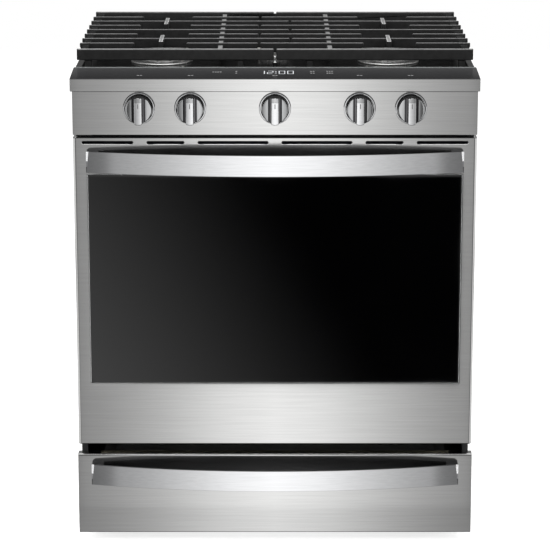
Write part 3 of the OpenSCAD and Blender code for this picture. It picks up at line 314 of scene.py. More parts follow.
class Finish(Nodes):
    """One procedural material. Its patterns lie in the object's own metres."""

    def __init__(self, name, constants, shades, gloss, relief=None):
        self.material = bpy.data.materials.new(name)
        super().__init__(self.material)
        self.shader = self.fill(self.tree.nodes["Principled BSDF"], constants)
        self.patterns = {}
        self.shades(*shades)
        self.gloss(*gloss)
        if relief:
            self.relief(*relief)
        if "Anisotropic" in constants:
            self.grain_along_x()

    def pattern(self, row):
        """A pattern's output. A finish that uses it twice makes it once."""
        if row not in self.patterns:
            kind, *numbers = row
            self.patterns[row] = getattr(self, kind)(*numbers)
        return self.patterns[row]

    def mapped(self, scale, stretch):
        inputs = {"Vector": self.place(), "Scale": [scale * s for s in stretch]}
        return self.add("Mapping", inputs).outputs["Vector"]

    def noise(self, scale, detail, stretch, rough):
        inputs = {"Vector": self.mapped(scale, stretch), "Scale": 1.0, "Detail": detail, "Roughness": rough}
        return self.add("TexNoise", inputs).outputs["Fac"]

    def cells(self, scale, stretch, output):
        inputs = {"Vector": self.mapped(scale, stretch), "Scale": 1.0}
        return self.add("TexVoronoi", inputs).outputs[output]

    def along(self, axis):
        return self.axes()[axis]

    def shades(self, row, dark, light, start=0.3, end=0.7):
        """Runs the base colour between two colours with a pattern."""
        share = self.ranged(self.pattern(row), start, end)
        inputs = {"Factor": share, "A": opaque(dark), "B": opaque(light)}
        mixed = self.add("Mix", inputs, data_type="RGBA").outputs["Result"]
        self.fill(self.shader, {"Base Color": mixed})

    def gloss(self, row, low, high, start=0.3, end=0.7):
        """Runs the roughness between two values with a pattern."""
        self.fill(self.shader, {"Roughness": self.ranged(self.pattern(row), start, end, low, high)})

    def relief(self, depth, row, share=1.0, second=None, second_share=0.0):
        """Bumps as deep as depth in mm, from one pattern or from shares of two."""
        height = self.math("MULTIPLY", self.pattern(row), share)
        if second:
            height = self.math("MULTIPLY_ADD", self.pattern(second), second_share, height)
        bump = self.add("Bump", {"Strength": 1.0, "Distance": depth * MM, "Height": height})
        self.fill(self.shader, {"Normal": bump.outputs["Normal"]})

    def grain_along_x(self):
        """The light on a metal brushed along X stretches up and down."""
        upright = self.add("CombineXYZ", {"Y": 0.01, "Z": 1.0}).outputs[0]
        turned_up = self.add("VectorTransform", {0: upright}, vector_type="VECTOR",
                             convert_from="OBJECT", convert_to="WORLD")
        self.fill(self.shader, {"Tangent": turned_up.outputs[0]})


def noise(scale, detail=2.0, stretch=(1, 1, 1), rough=0.5):
    """Soft noise whose patches are about 1 / scale metres wide, centred on one half."""
    return "noise", scale, detail, stretch, rough


def cells(scale, stretch=(1, 1, 1), output="Distance"):
    """Cells about 1 / scale metres wide: the distance to each one's middle, or a colour for each."""
    return "cells", scale, stretch, output


def specular(level):
    return {"Specular IOR Level": level}


def clear(share):
    return {"Transmission Weight": share, "IOR": 1.45}


METAL = {"Metallic": 1.0}
BANDS = noise(420, 2, (0.02, 1, 1))
FIBRE = noise(500, 5, (1, 0.2, 1), 0.7)
BRAID = cells(420, (1, 1, 0.6))
SPANGLE = cells(70, output="Color")
WAVES = noise(25, 1)
# the touch glass's depth, over which its painted reflection runs
TOUCH_DEPTH = [corner.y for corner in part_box("touch_glass")]


def brushed(colour, rough, anisotropic):
    """Sheet metal brushed along X: long fine scratches, and broader bands between them."""
    return ({**METAL, "Anisotropic": anisotropic},
            (BANDS, [c * 0.965 for c in colour], [c * 1.03 for c in colour]),
            (noise(9, 1, (0.6, 1, 1)), rough - 0.01, rough + 0.02),
            (0.002, noise(1500, 3, (0.012, 1, 1)), 1.0, BANDS, 0.3))


def turned(dark, light, low, high, metallic=1.0):
    """Fine metal with an upright grain."""
    return ({"Metallic": metallic}, (noise(400, 3, (1, 1, 0.1)), dark, light), (noise(90), low, high),
            (0.003, noise(1500, 2, (1, 1, 0.05))))


def iron(dark, light, rough, level):
    """Cast iron under a thin enamel."""
    return (specular(level), (noise(120, 4), dark, light), (noise(400), rough - 0.06, rough + 0.08),
            (0.1, noise(900, 4, rough=0.65), 1.0, noise(200), 0.8))


def alloy(dark, light, rough, depth):
    """The burners' cast alloy."""
    return METAL, (noise(300, 4), dark, light), (noise(150, 3), 0.24, rough), (depth, noise(1100, 3))


def ground(dark, light):
    """A pale glass edge: a painted highlight on a pane's bevel or back rim."""
    return specular(0.5), (noise(700), dark, light), (noise(900), 0.25, 0.4), (0.02, noise(1500))


# Each finish: the shader's constants; the colours' pattern, dark and light; the roughness's pattern,
# least and most; the relief's depth in mm and its pattern. A pattern's own range may follow.
FINISHES = {
    "stainless": brushed((0.64, 0.64, 0.635), 0.12, 0.4),
    "trim_steel": brushed((0.65, 0.65, 0.645), 0.15, 0.4),
    "satin_metal": brushed((0.76, 0.765, 0.775), 0.12, 0.0),
    # One turned metal in lit and shaded copies: the knob metal; a darker copy as painted shade; a pale,
    # hardly metallic copy as a painted highlight on the handles' ends.
    "knob_metal": turned((0.42, 0.425, 0.43), (0.49, 0.495, 0.5), 0.13, 0.18),
    "knob_shade": turned((0.17, 0.17, 0.175), (0.23, 0.23, 0.235), 0.2, 0.26),
    "painted_highlight_metal": turned((0.8, 0.8, 0.81), (0.9, 0.9, 0.91), 0.2, 0.3, 0.25),
    # dull_black also serves as painted shade on the knobs' sides and rims and on the grates' side-rail tops.
    "dull_black": iron(0.004, 0.007, 0.6, 0.06),
    "cast_iron": iron(0.011, 0.017, 0.45, 0.14),
    # Lighter copies of the iron: a painted highlight on the bar tops and a brighter painted glint on the
    # fingers.
    "iron_painted_highlight": iron(0.12, 0.19, 0.36, 0.5),
    "iron_painted_glint": iron(0.5, 0.6, 0.3, 0.5),
    # A dark copy of the alloy: painted shade on the flat tops of the burners' base rings.
    "alloy_painted_shade": alloy(0.1, 0.16, 0.34, 0.03),
    "burner_alloy": alloy((0.28, 0.28, 0.275), (0.36, 0.36, 0.355), 0.38, 0.05),
    "glass_painted_highlight": ground((0.62, 0.63, 0.63), (0.74, 0.75, 0.75)),
    "rim_painted_highlight": ground((0.19, 0.2, 0.2), (0.26, 0.27, 0.27)),
    # A dark copy of the satin metal: painted shade on the handles' tops, backs and posts and in the knob
    # rings' bores and upper outer sides.
    "painted_shade_metal": (
        {"Metallic": 0.6, "Specular IOR Level": 0.3},
        (noise(60, 2, (0.1, 1, 1)), (0.038, 0.038, 0.039), (0.06, 0.06, 0.062)),
        (noise(120, 3, (0.1, 1, 1)), 0.35, 0.5), (0.01, noise(900, 2, (0.05, 1, 1)))),
    "black_enamel": (
        specular(0.07), (noise(30), 0.002, 0.004), (noise(70, 3), 0.12, 0.2), (0.003, noise(150))),
    "oven_enamel": (
        specular(0.5), (cells(900), (0.19, 0.2, 0.24), (0.018, 0.02, 0.03), 0.1, 0.24),
        (noise(60, 3), 0.2, 0.38), (0.06, noise(180, 3))),
    "side_paint": (
        specular(0.4), (noise(14, 3), (0.031, 0.032, 0.033), (0.034, 0.035, 0.036)),
        (noise(40, 3), 0.38, 0.5), (0.05, noise(700))),
    "black_glass": (
        specular(1.0), (noise(3), (0.0004, 0.0004, 0.0005), (0.0008, 0.0008, 0.0009)),
        (noise(12, 4), 0.03, 0.07), (0.004, WAVES)),
    # Painted reflection: the touch glass's colour runs lighter from its front to its back.
    "console_glass": (
        specular(0.05), (("along", "Y"), (0.005, 0.005, 0.0055), (0.037, 0.037, 0.038), *TOUCH_DEPTH),
        (noise(12, 4), 0.2, 0.26), (0.003, WAVES)),
    "clear_glass": (
        clear(0.85), (noise(5), (0.4, 0.42, 0.41), (0.5, 0.52, 0.51)), (noise(20, 4), 0.02, 0.08)),
    "lamp_glass": (
        clear(0.6), (noise(90), (0.8, 0.78, 0.7), (0.95, 0.93, 0.88)),
        (noise(150), 0.12, 0.3), (0.1, cells(350))),
    "brass": (
        METAL, (noise(120, 4), (0.62, 0.4, 0.14), (0.78, 0.54, 0.22)),
        (noise(90, 3), 0.22, 0.4), (0.02, noise(900))),
    "ceramic": (
        specular(0.5), (noise(200, 3), (0.72, 0.7, 0.64), (0.84, 0.82, 0.78)),
        (noise(300), 0.25, 0.45), (0.02, noise(1500))),
    "mineral_wool": (
        specular(0.2), (FIBRE, (0.42, 0.38, 0.28), (0.72, 0.66, 0.5)),
        (FIBRE, 0.85, 0.98), (0.8, FIBRE, 1.0, noise(60, 3), 2.0)),
    "gasket_weave": (
        specular(0.3), (BRAID, (0.34, 0.33, 0.31), (0.12, 0.12, 0.115), 0.1, 0.6),
        (BRAID, 0.7, 0.9), (0.5, BRAID, -1.0)),
    "board": (
        specular(0.5), (cells(260, (1, 1, 0.2), "Color"), (0.01, 0.09, 0.035), (0.02, 0.16, 0.06)),
        (noise(200), 0.3, 0.5), (0.05, noise(600))),
    "housing_black": (
        specular(0.3), (noise(50, 3), 0.008, 0.014), (noise(90, 3), 0.42, 0.6), (0.05, noise(1400))),
    "lever_paint": (
        specular(0.5), (noise(60, 3), (0.62, 0.36, 0.02), (0.8, 0.5, 0.04)),
        (noise(120, 3), 0.3, 0.45), (0.03, noise(800))),
    "rack_chrome": (
        METAL, (noise(60, 3), (0.66, 0.66, 0.67), (0.82, 0.82, 0.83)),
        (noise(90, 3), 0.1, 0.22), (0.01, noise(400))),
    "motor_steel": (
        METAL, (noise(200, 3, (1, 0.05, 1)), 0.2, 0.34),
        (noise(120, 3), 0.35, 0.55), (0.04, noise(700, 2, (1, 0.05, 1)))),
    "plated_steel": (
        METAL, (SPANGLE, (0.56, 0.565, 0.57), (0.6, 0.605, 0.61), 0.2, 0.8),
        (SPANGLE, 0.4, 0.46, 0.2, 0.8), (0.02, noise(500, 3))),
    "display_light": (
        {"Emission Strength": 0.3, "Emission Color": (0.9, 0.95, 1.0, 1)},
        (noise(900), (0.3, 0.31, 0.32), (0.4, 0.41, 0.42)), (noise(900), 0.4, 0.6)),
    "legend_print": (specular(0.3), (noise(900), 0.16, 0.22), (noise(900), 0.5, 0.6)),
    "index_ink": (specular(0.3), (noise(900), 0.1, 0.14), (noise(900), 0.45, 0.6)),
}


def finish(name):
    """The finish of that name, made when it is first wanted."""
    found = bpy.data.materials.get("finish_" + name)
    return found or Finish("finish_" + name, *FINISHES[name]).material


# ---------------- repeated pieces


class Rule(Nodes):
    """A Geometry Nodes tree with named inputs, run once on a new object and made a plain mesh."""

    family = "GeometryNode"

    def __init__(self, name, **values):
        self.name = name
        self.values = values
        self.tree = bpy.data.node_groups.new(name, "GeometryNodeTree")
        self.socket("Geometry", "Geometry", "OUTPUT")
        self.socket("Geometry", "Geometry")
        self.sockets = {label: self.socket(label, "Int" if isinstance(value, int) else "Float")
                        for label, value in values.items()}
        self.inputs = self.tree.nodes.new("NodeGroupInput").outputs

    def socket(self, label, kind, way="INPUT"):
        return self.tree.interface.new_socket(label, in_out=way, socket_type="NodeSocket" + kind)

    def grow(self, kind, **inputs):
        """A node's result. An input is a socket, a plain value or the name of one of the rule's inputs."""
        named = {key.replace("_", " "): self.inputs[value] if isinstance(value, str) else value
                 for key, value in inputs.items()}
        return self.add(kind, named).outputs[0]

    def joined(self, *parts):
        whole = self.add("JoinGeometry")
        for part in parts:
            self.fill(whole, {0: part})
        return whole.outputs[0]

    def run(self, shape, material, points=()):
        """The shape's plain mesh in one material, grown from the points."""
        real = self.grow("RealizeInstances", Geometry=shape)
        dressed = self.grow("SetMaterial", Geometry=real, Material=material)
        self.fill(self.tree.nodes.new("NodeGroupOutput"), {0: dressed})
        seeds = bpy.data.meshes.new(self.name)
        seeds.from_pydata(points, [], [])
        piece = placed(self.name, seeds)
        modifier = piece.modifiers.new("rule", "NODES")
        modifier.node_group = self.tree
        for label, value in self.values.items():
            modifier[self.sockets[label].identifier] = value
        evaluated = piece.evaluated_get(bpy.context.evaluated_depsgraph_get())
        piece.data = bpy.data.meshes.new_from_object(evaluated)
        piece.modifiers.remove(modifier)
        piece.data.shade_smooth()
        piece.data.set_sharp_from_angle(angle=math.radians(SMOOTH))
        return piece


# ---------------- sizes and colours


class RangeSizes(bpy.types.PropertyGroup):
    """Sizes that the looks add to the frame's own."""

    sheet_round: bpy.props.FloatProperty(
        name="Sheet edge", description="Rounding of the folded sheet metal's edges",
        default=0.0008, unit="LENGTH")
    iron_round: bpy.props.FloatProperty(
        name="Casting edge", description="Rounding of the cast-iron grates' edges",
        default=0.0016, unit="LENGTH")
    handle_cap: bpy.props.FloatProperty(
        name="Handle cap", description="Width of the bevel at each end of a handle",
        default=0.005, unit="LENGTH")
    lens: bpy.props.FloatProperty(
        name="Lens", description="Focal length of the camera in mm", default=161.0)
    camera_distance: bpy.props.FloatProperty(
        name="Camera distance", description="From the camera to the range's face",
        default=4.5, unit="LENGTH")
    camera_height: bpy.props.FloatProperty(
        name="Camera height", description="Height of the camera above the floor",
        default=1.64, unit="LENGTH")
    camera_pitch: bpy.props.FloatProperty(
        name="Camera pitch", description="How far the camera looks down",
        default=math.radians(13.85), subtype="ANGLE")


class RangeColours(bpy.types.PropertyGroup):
    """Colours and light levels of the studio."""

    floor: bpy.props.FloatVectorProperty(
        name="Floor", description="Colour of the studio floor", subtype="COLOR",
        default=(0.86, 0.86, 0.86))
    ambient: bpy.props.FloatProperty(
        name="Room light", description="Strength of the room's even light", default=0.5)
    key: bpy.props.FloatProperty(
        name="Overhead light", description="Power of the soft light overhead", default=60.0)


def sizes():
    return bpy.context.scene.range_sizes


def colours():
    return bpy.context.scene.range_colours


# ---------------- stage


WHITE = (1, 1, 1, 1)

# The reflecting card: its place in front of the range's face and its own corners, in metres.
CARD_GAP = 0.2
CARD_HALF = 1.3
CARD_FOOT, CARD_TOP = -0.6, 1.8

# How bright it is at shares of its reach from the middle, and from left to right.
CARD_REACH = 2.0
CARD_LOBE = ((0.0, 1.27), (0.04, 1.14), (0.0835, 0.89), (0.1265, 0.645), (0.17, 0.46), (0.19, 0.4),
             (0.215, 0.2), (0.27, 0.15), (0.3, 0.85), (1.0, 0.85))
CARD_TURN = (-0.1, 0.4, 1.0, 1.08)

# Where it fades out at its sides and its top.
CARD_SIDE_FADE = (0.8, 1.2)
CARD_TOP_FADE = (1.1, 1.6)

# The dark band that only the door's glass looks into: its foot, head, fade and sides, then how its
# bright left side falls off along a slanting line.
BAND_FOOT, BAND_HEAD = 0.2632, 0.677
BAND_FADE = 4 * MM
BAND_SIDES = (0.3615, 0.3655)
BAND_SLANT = 0.57
BAND_GLOW = (-0.575, 0.4, 0.9, 0.0)

# The floor's own white, and how much of the card's light a metal sees in it, up to behind its front.
FLOOR_WHITE = 0.7
FLOOR_SHINE = 0.85
FLOOR_SHINE_END = (0.05, 0.3)

# The room that metal and glass see: dimmer in front, and low down behind.
ROOM_AHEAD = (-0.9, -0.1, 0.3, 1.0)
ROOM_LOW = (0.45, 0.6)
ROOM_BEHIND = (0.6, 0.8)
ROOM_DIM = 0.75


def soft_light(name, place, aim_height, size, power, mirrored=False):
    """A soft rectangular lamp that looks at a height in the range's middle."""
    lamp = bpy.data.lights.new(name, "AREA")
    lamp.shape = "RECTANGLE"
    lamp.size, lamp.size_y = size
    lamp.energy = power
    light = placed(name, lamp)
    light.visible_glossy = mirrored
    light.location = place
    light.rotation_mode = "QUATERNION"
    light.rotation_quaternion = (Vector((0, 0, aim_height)) - Vector(place)).to_track_quat("-Z", "Y")


def plate(name, corners, material):
    """A flat sheet of the stage."""
    mesh = bpy.data.meshes.new(name)
    mesh.from_pydata(corners, [], [(0, 1, 2, 3)])
    mesh.materials.append(material)
    thing = placed(name, mesh)
    return thing


def lobe(nodes, across):
    """How bright the studio is from side to side: brightest in the middle. across is in metres."""
    share = nodes.math("DIVIDE", nodes.math("ABSOLUTE", across), CARD_REACH)
    curve = nodes.add("FloatCurve", {"Value": share})
    top = max(level for _, level in CARD_LOBE)
    points = curve.mapping.curves[0].points
    for point, (place, level) in zip(points, (CARD_LOBE[0], CARD_LOBE[-1])):
        point.location = (place, level / top)
    for place, level in CARD_LOBE[1:-1]:
        points.new(place, level / top)
    curve.mapping.update()
    return nodes.math("MULTIPLY", curve.outputs[0], top)


def card_material():
    """The studio's reflecting card: a bright middle, and a dark band that only the glass looks into."""
    material = bpy.data.materials.new("studio_card")
    n = Nodes(material)
    n.tree.nodes.clear()
    x, _, z = n.axes()
    aside = n.math("ABSOLUTE", x)
    bright = n.math("MULTIPLY", lobe(n, x), n.step(x, *CARD_TURN))
    enter = n.step(z, BAND_FOOT - BAND_FADE, BAND_FOOT)
    leave = n.step(z, BAND_HEAD, BAND_HEAD + BAND_FADE, 1.0, 0.0)
    band = n.math("MULTIPLY", n.math("MULTIPLY", enter, leave), n.step(aside, *BAND_SIDES, 1.0, 0.0))
    glow = n.step(n.math("MULTIPLY_ADD", z, BAND_SLANT, x), *BAND_GLOW)
    mixed = n.add("Mix", {"Factor": band, "A": bright, "B": glow}).outputs["Result"]
    light = n.add("Emission", {"Strength": mixed}).outputs[0]
    nothing = n.add("BsdfTransparent").outputs[0]
    gone = n.math("MAXIMUM", n.step(aside, *CARD_SIDE_FADE), n.step(z, *CARD_TOP_FADE))
    blend = n.add("MixShader", {"Fac": gone, 1: light, 2: nothing})
    n.add("OutputMaterial", {"Surface": blend.outputs[0]})
    return material


def floor_material():
    """A pale floor that shows white where nothing shades it, and the card's light to a metal in front."""
    material = bpy.data.materials.new("studio_floor")
    n = Nodes(material)
    seen, glossy = n.rays()
    shader = n.fill(n.tree.nodes["Principled BSDF"], {
        "Base Color": opaque(colours().floor), "Roughness": 0.9, "Specular IOR Level": 0.0,
        "Emission Color": WHITE, "Emission Strength": n.math("MULTIPLY", seen, FLOOR_WHITE)})
    x, y, _ = n.axes()
    glow = n.add("Emission", {"Strength": n.math("MULTIPLY", lobe(n, x), FLOOR_SHINE)})
    start, end = (CAD_BOX[0].y + step for step in FLOOR_SHINE_END)
    share = n.math("MULTIPLY", glossy, n.step(y, start, end, 1.0, 0.0))
    swap = n.add("MixShader", {"Fac": share, 1: shader.outputs[0], 2: glow.outputs[0]})
    n.fill(n.tree.nodes["Material Output"], {"Surface": swap.outputs[0]})
    return material


def add_camera(scene, face):
    s = sizes()
    lens = bpy.data.cameras.new("camera")
    lens.lens = s.lens
    lens.sensor_width = 36
    camera = placed("camera", lens)
    camera.location = (0, face - s.camera_distance, s.camera_height)
    camera.rotation_euler = (math.radians(90) - s.camera_pitch, 0, 0)
    scene.camera = camera


def add_card(y):
    """The reflecting card, which only metal and glass see."""
    corners = ((-1, CARD_FOOT), (1, CARD_FOOT), (1, CARD_TOP), (-1, CARD_TOP))
    card = plate("card", [(side * CARD_HALF, y, z) for side, z in corners], card_material())
    for ray in ("camera", "diffuse", "shadow", "transmission", "volume_scatter"):
        setattr(card, "visible_" + ray, False)


def add_room(scene):
    """Even room light, with a white backdrop for the camera and for metal and glass."""
    scene.world = bpy.data.worlds.new("room")
    n = Nodes(scene.world)
    seen, glossy = n.rays()
    _, y, z = n.axes("Generated")
    below = n.math("SUBTRACT", 1.0, n.step(z, *ROOM_LOW))
    dim = n.math("MULTIPLY", n.math("MULTIPLY", n.step(y, *ROOM_BEHIND), below), ROOM_DIM)
    shine = n.math("MULTIPLY", n.step(y, *ROOM_AHEAD), n.math("SUBTRACT", 1.0, dim))
    level = n.add("Mix", {"Factor": glossy, "A": colours().ambient, "B": shine}).outputs["Result"]
    n.fill(n.tree.nodes["Background"], {"Color": WHITE, "Strength": n.math("MAXIMUM", seen, level)})


class RANGE_OT_stage(bpy.types.Operator):
    """Sets up the camera, the pale floor, the white backdrop and the soft lights"""

    bl_idname = "range.stage"
    bl_label = "Stage"

    def execute(self, context):
        context.scene.view_settings.view_transform = "Standard"
        face = face_front("door_skin")
        add_camera(context.scene, face)
        plate("floor", [(-4, -1.3, 0), (4, -1.3, 0), (4, 6, 0), (-4, 6, 0)], floor_material())
        add_card(face - CARD_GAP)
        soft_light("overhead", (0.0, -0.5, 2.6), 0.7, (2.4, 2.0), colours().key, True)
        soft_light("front_left", (-2.2, -2.4, 1.9), 0.5, (1.4, 1.4), 30)
        soft_light("front_right", (2.2, -2.4, 1.9), 0.5, (1.4, 1.4), 24)
        add_room(context.scene)
        return {"FINISHED"}


# ---------------- finishes on the frame


class RANGE_OT_finishes(bpy.types.Operator):
    """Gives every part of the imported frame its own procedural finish"""

    bl_idname = "range.finishes"
    bl_label = "Finishes"

    def execute(self, context):
        for name, node in frame["nodes"].items():
            node.material_slots[0].material = finish(SLOT_OF[name])
        return {"FINISHED"}


# ---------------- door and handles


HANDLE_THICK = 13 * MM
HANDLE_END = 19 * MM        # how far its ends stand out
HANDLE_POST = 22 * MM
HANDLE_EDGE = 0.8 * MM
HANDLE_FALL = 3.6 * MM      # how much its top slopes down to the back
HANDLE_MARGIN = 0.4 * MM
HANDLE_STEPS = 72
TIP_SHARES = (0.0, 0.28, 0.55, 1.0)     # the heights where a post's bevel changes from painted shade to painted highlight
# painted shade, a lighter painted shade, then the painted highlight
TIP_FINISHES = (1, 3, 2)


def band_section(height):
    """The handle's band cut across, as (depth from its face, height) points, face corners first."""
    near, far = HANDLE_EDGE, HANDLE_THICK - HANDLE_EDGE
    foot, head = HANDLE_EDGE, height - HANDLE_EDGE
    points = []
    for corner, (depth, rise) in enumerate(((near, foot), (near, head), (far, head), (far, foot)), 1):
        for step in range(4):
            a = math.radians(-90 * (corner + step / 3))
            points.append((depth + HANDLE_EDGE * math.cos(a), rise + HANDLE_EDGE * math.sin(a)))
    margin = HANDLE_EDGE + HANDLE_MARGIN
    points[4:4] = [(0, margin), (0, height - margin)]
    slope = HANDLE_FALL / HANDLE_THICK
    return [(depth, rise - depth * slope if rise > height / 2 else rise) for depth, rise in points]


class Bow:
    """One handle's measures: a band bent round a large circle, with a bevelled cap at each end."""

    def __init__(self, node):
        low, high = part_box(node)
        self.face = face_front("door_skin" if node == "door_handle" else "drawer_front")
        self.reach = (high.x - low.x) / 2
        sag = self.face - low.y - HANDLE_END
        self.radius = (self.reach ** 2 + sag ** 2) / (2 * sag)
        self.centre = low.y + self.radius
        self.foot = low.z
        self.height = high.z - low.z

    def cap(self, share):
        """How wide the bevelled cap is at a share of the height: it tapers downwards."""
        return sizes().handle_cap * (0.25 + 0.75 * share)

    def band_y(self, x, depth):
        return self.centre - math.sqrt((self.radius - depth) ** 2 - x * x)


def add_band(bm, bow):
    """The bowed flat band: a bright face, with painted shade in a dark copy of its metal on its top, back
    and ends.
    """
    section = band_section(bow.height)
    band = bmesh.new()
    rings = []
    for k in range(HANDLE_STEPS + 1):
        ring = []
        for depth, rise in section:
            half_angle = math.asin((bow.reach - bow.cap(rise / bow.height)) / bow.radius)
            a = half_angle * (2 * k / HANDLE_STEPS - 1)
            r = bow.radius - depth
            ring.append(band.verts.new((r * math.sin(a), bow.centre - r * math.cos(a), bow.foot + rise)))
        rings.append(ring)
    for one, two in zip(rings, rings[1:]):
        for i, face in enumerate(skin(band, one, two)):
            ends = section[i], section[(i + 1) % len(section)]
            deep = max(depth for depth, _ in ends)
            upper = max(rise for _, rise in ends) > bow.height - 0.9 * HANDLE_EDGE
            # finish 1 is the painted shade on the top and back
            face.material_index = 1 if upper and deep > 0 or deep > 0.5 * HANDLE_EDGE else 0
    for ring in (rings[0], rings[-1]):
        band.faces.new(ring).material_index = 1
    shade_round(band)
    join(bm, band)


def add_post(bm, bow, side):
    """The post at one end of a handle: a block in painted shade whose outer corner is a tapering bevel, in
    painted shade low down and with a painted highlight at the top.
    """
    part = bmesh.new()
    inner = bow.reach - HANDLE_POST
    loops = []
    for share in TIP_SHARES:
        cap = bow.cap(share)
        edge = bow.reach - cap
        front = bow.band_y(edge, 0)
        plan = [(bow.reach, bow.face), (bow.reach, front + cap * 1.4), (edge, front),
                (edge, bow.band_y(edge, HANDLE_THICK * 0.5)), (inner, bow.band_y(inner, HANDLE_THICK * 0.6)),
                (inner, bow.face)]
        fall = HANDLE_FALL / HANDLE_THICK * share
        loops.append([part.verts.new((side * x, y, bow.foot + bow.height * share - fall * max(0, y - front)))
                      for x, y in plan])
    for low, high, tip in zip(loops, loops[1:], TIP_FINISHES):
        for i, face in enumerate(skin(part, low, high)):
            face.material_index = tip if i == 1 else 1
    part.faces.new(loops[0]).material_index = 1
    part.faces.new(loops[-1]).material_index = 1
    bmesh.ops.recalc_face_normals(part, faces=part.faces)
    shade_faces(part, 0.1 * MM)
    join(bm, part)


class RANGE_OT_handles(bpy.types.Operator):
    """Makes the bowed handles of the oven door and the storage drawer"""

    bl_idname = "range.handles"
    bl_label = "Handles"

    def execute(self, context):
        for node in ("door_handle", "drawer_handle"):
            bm = bmesh.new()
            bow = Bow(node)
            add_band(bm, bow)
            add_post(bm, bow, -1)
            add_post(bm, bow, 1)
            stand_in(made(node + "_bar", bm, "satin_metal", "painted_shade_metal", "painted_highlight_metal", "knob_shade"), node)
        return {"FINISHED"}


GLASS_BEVEL = 0.7 * MM


def add_glass(name, node):
    """A pane whose bevel takes a pale finish: a painted highlight."""
    bm = node_mesh(node)
    bevel(bm, bm.edges[:], GLASS_BEVEL, 1)
    dress(bm, lambda face, at: max(abs(part) for part in face.normal) <= 0.99)
    stand_in(made(name, bm, "black_glass", "glass_painted_highlight", smooth=10), node)


class RANGE_OT_door(bpy.types.Operator):
    """Makes the oven door's brushed skin, with painted shade on its foot and top rounding, and its black
    glass with a painted highlight on its bevel
    """

    bl_idname = "range.door"
    bl_label = "Oven door"

    def execute(self, context):
        front_with_painted_shade("door_panel", "door_skin", above=True)
        add_glass("door_window", "door_glass")
        return {"FINISHED"}


class RANGE_OT_drawer(bpy.types.Operator):
    """Makes the storage drawer's brushed front"""

    bl_idname = "range.drawer"
    bl_label = "Storage drawer"

    def execute(self, context):
        front_with_painted_shade("drawer_panel", "drawer_front")
        return {"FINISHED"}


# ---------------- controls


KNOB_MIDDLES = [middle(f"knob_{i}") for i in range(1, 6)]
KNOB_RADIUS = 25 * MM
KNOB_BASE = 9.5 * MM
KNOB_GRIP = 28 * MM
KNOB_CUTS = 40
RIDGE_HALF = 6.75 * MM
RIDGE_CROWN = 16 * MM
RIDGE_ROUND = 1.0 * MM
RIDGE_SLOPE = 15 * MM
RIDGE_DROP = 4.4 * MM
RIM_ROUND = 1.2 * MM
# The rim and the valleys take painted shade.
RIM_DARK = 0.9 * MM
VALLEY = (6.7 * MM, 12.6 * MM)

# The body beside the ridge, as (distance from the ridge's middle, height) in mm.
KNOB_BODY = [(6.75, 22), (7.0, 15), (7.4, 11.5), (8.2, 9.6), (9.2, 9.3), (11.0, 10.6), (12.4, 12.0),
             (13.2, 12.3), (14.2, 12.15), (16.0, 11.7), (18.0, 11.0), (20.0, 10.2), (22.0, 9.2), (25.0, 7.4)]

# Where a knob's face is cut from its middle outwards, in mm: close together at the ridge's edges.
KNOB_COLUMNS = [1, 2, 3, 4, 5, 5.75, 6.0, 6.25, 6.5, 6.7, 6.76, 7.0, 7.4, 7.8, 8.2, 8.7, 9.2, 10.1, 11, 12.4,
                12.8, 13.2, 13.7, 14.2, 16, 18, 20, 22, 23.2, 24, 24.5, 24.8, 25]

# The index line near the top of the ridge.
LINE_HALF = 0.8 * MM
LINE_LONG = 9 * MM


def ring_shade(face, at):
    """Whether a face of the knobs' rings takes painted shade: in a bore, or round a ring's upper side."""
    centre = min(KNOB_MIDDLES, key=lambda spot: abs(spot.x - at.x))
    outward = face.normal.x * (at.x - centre.x) + face.normal.z * (at.z - centre.z) > 0
    return not (face.normal.y < -0.9 or outward and face.normal.z < 0.1)


class RANGE_OT_control_panel(bpy.types.Operator):
    """Makes the brushed control panel, the bright strip over it and the knobs' rings"""

    bl_idname = "range.control_panel"
    bl_label = "Control panel"

    def execute(self, context):
        softened("control_fascia", "control_panel", 0.6 * MM)
        # the strip's upward faces are black: painted shade in place of the light they would catch
        softened("trim_strip", "front_trim", 0.25 * MM, looks=("trim_steel", "housing_black"),
                 pick=lambda face, at: face.normal.z > 0.2)
        softened("knob_rings", "knob_bezels", 0.5 * MM, 3, ("satin_metal", "painted_shade_metal"), ring_shade)
        return {"FINISHED"}


def knob_body(run):
    """How far the body stands out at a distance from the ridge's middle: a valley, a crest, a slope."""
    for (u0, h0), (u1, h1) in zip(KNOB_BODY, KNOB_BODY[1:]):
        if run <= u1 * MM:
            share = (run / MM - u0) / (u1 - u0)
            return (h0 + (h1 - h0) * max(0, share)) * MM
    return KNOB_BODY[-1][1] * MM


def knob_height(across, along):
    """How far a knob's face stands out at a point, with a crowned ridge that slopes back at its top."""
    u = abs(across)
    past = u - (RIDGE_HALF - RIDGE_ROUND)
    crown = KNOB_GRIP - (RIDGE_CROWN - math.sqrt(RIDGE_CROWN ** 2 - min(u, RIDGE_HALF) ** 2))
    crown -= RIDGE_DROP * (max(0, along - RIDGE_SLOPE) / (KNOB_RADIUS - RIDGE_SLOPE)) ** 1.1
    if past <= 0:
        height = crown
    elif past < RIDGE_ROUND:
        height = crown - (RIDGE_ROUND - math.sqrt(max(0, RIDGE_ROUND ** 2 - past ** 2)))
    else:
        height = min(crown - RIDGE_ROUND, knob_body(u))
    rim = KNOB_RADIUS - math.hypot(across, along)
    if rim < RIM_ROUND:
        height -= RIM_ROUND - math.sqrt(max(0, RIM_ROUND ** 2 - (RIM_ROUND - max(rim, 0)) ** 2))
    return height


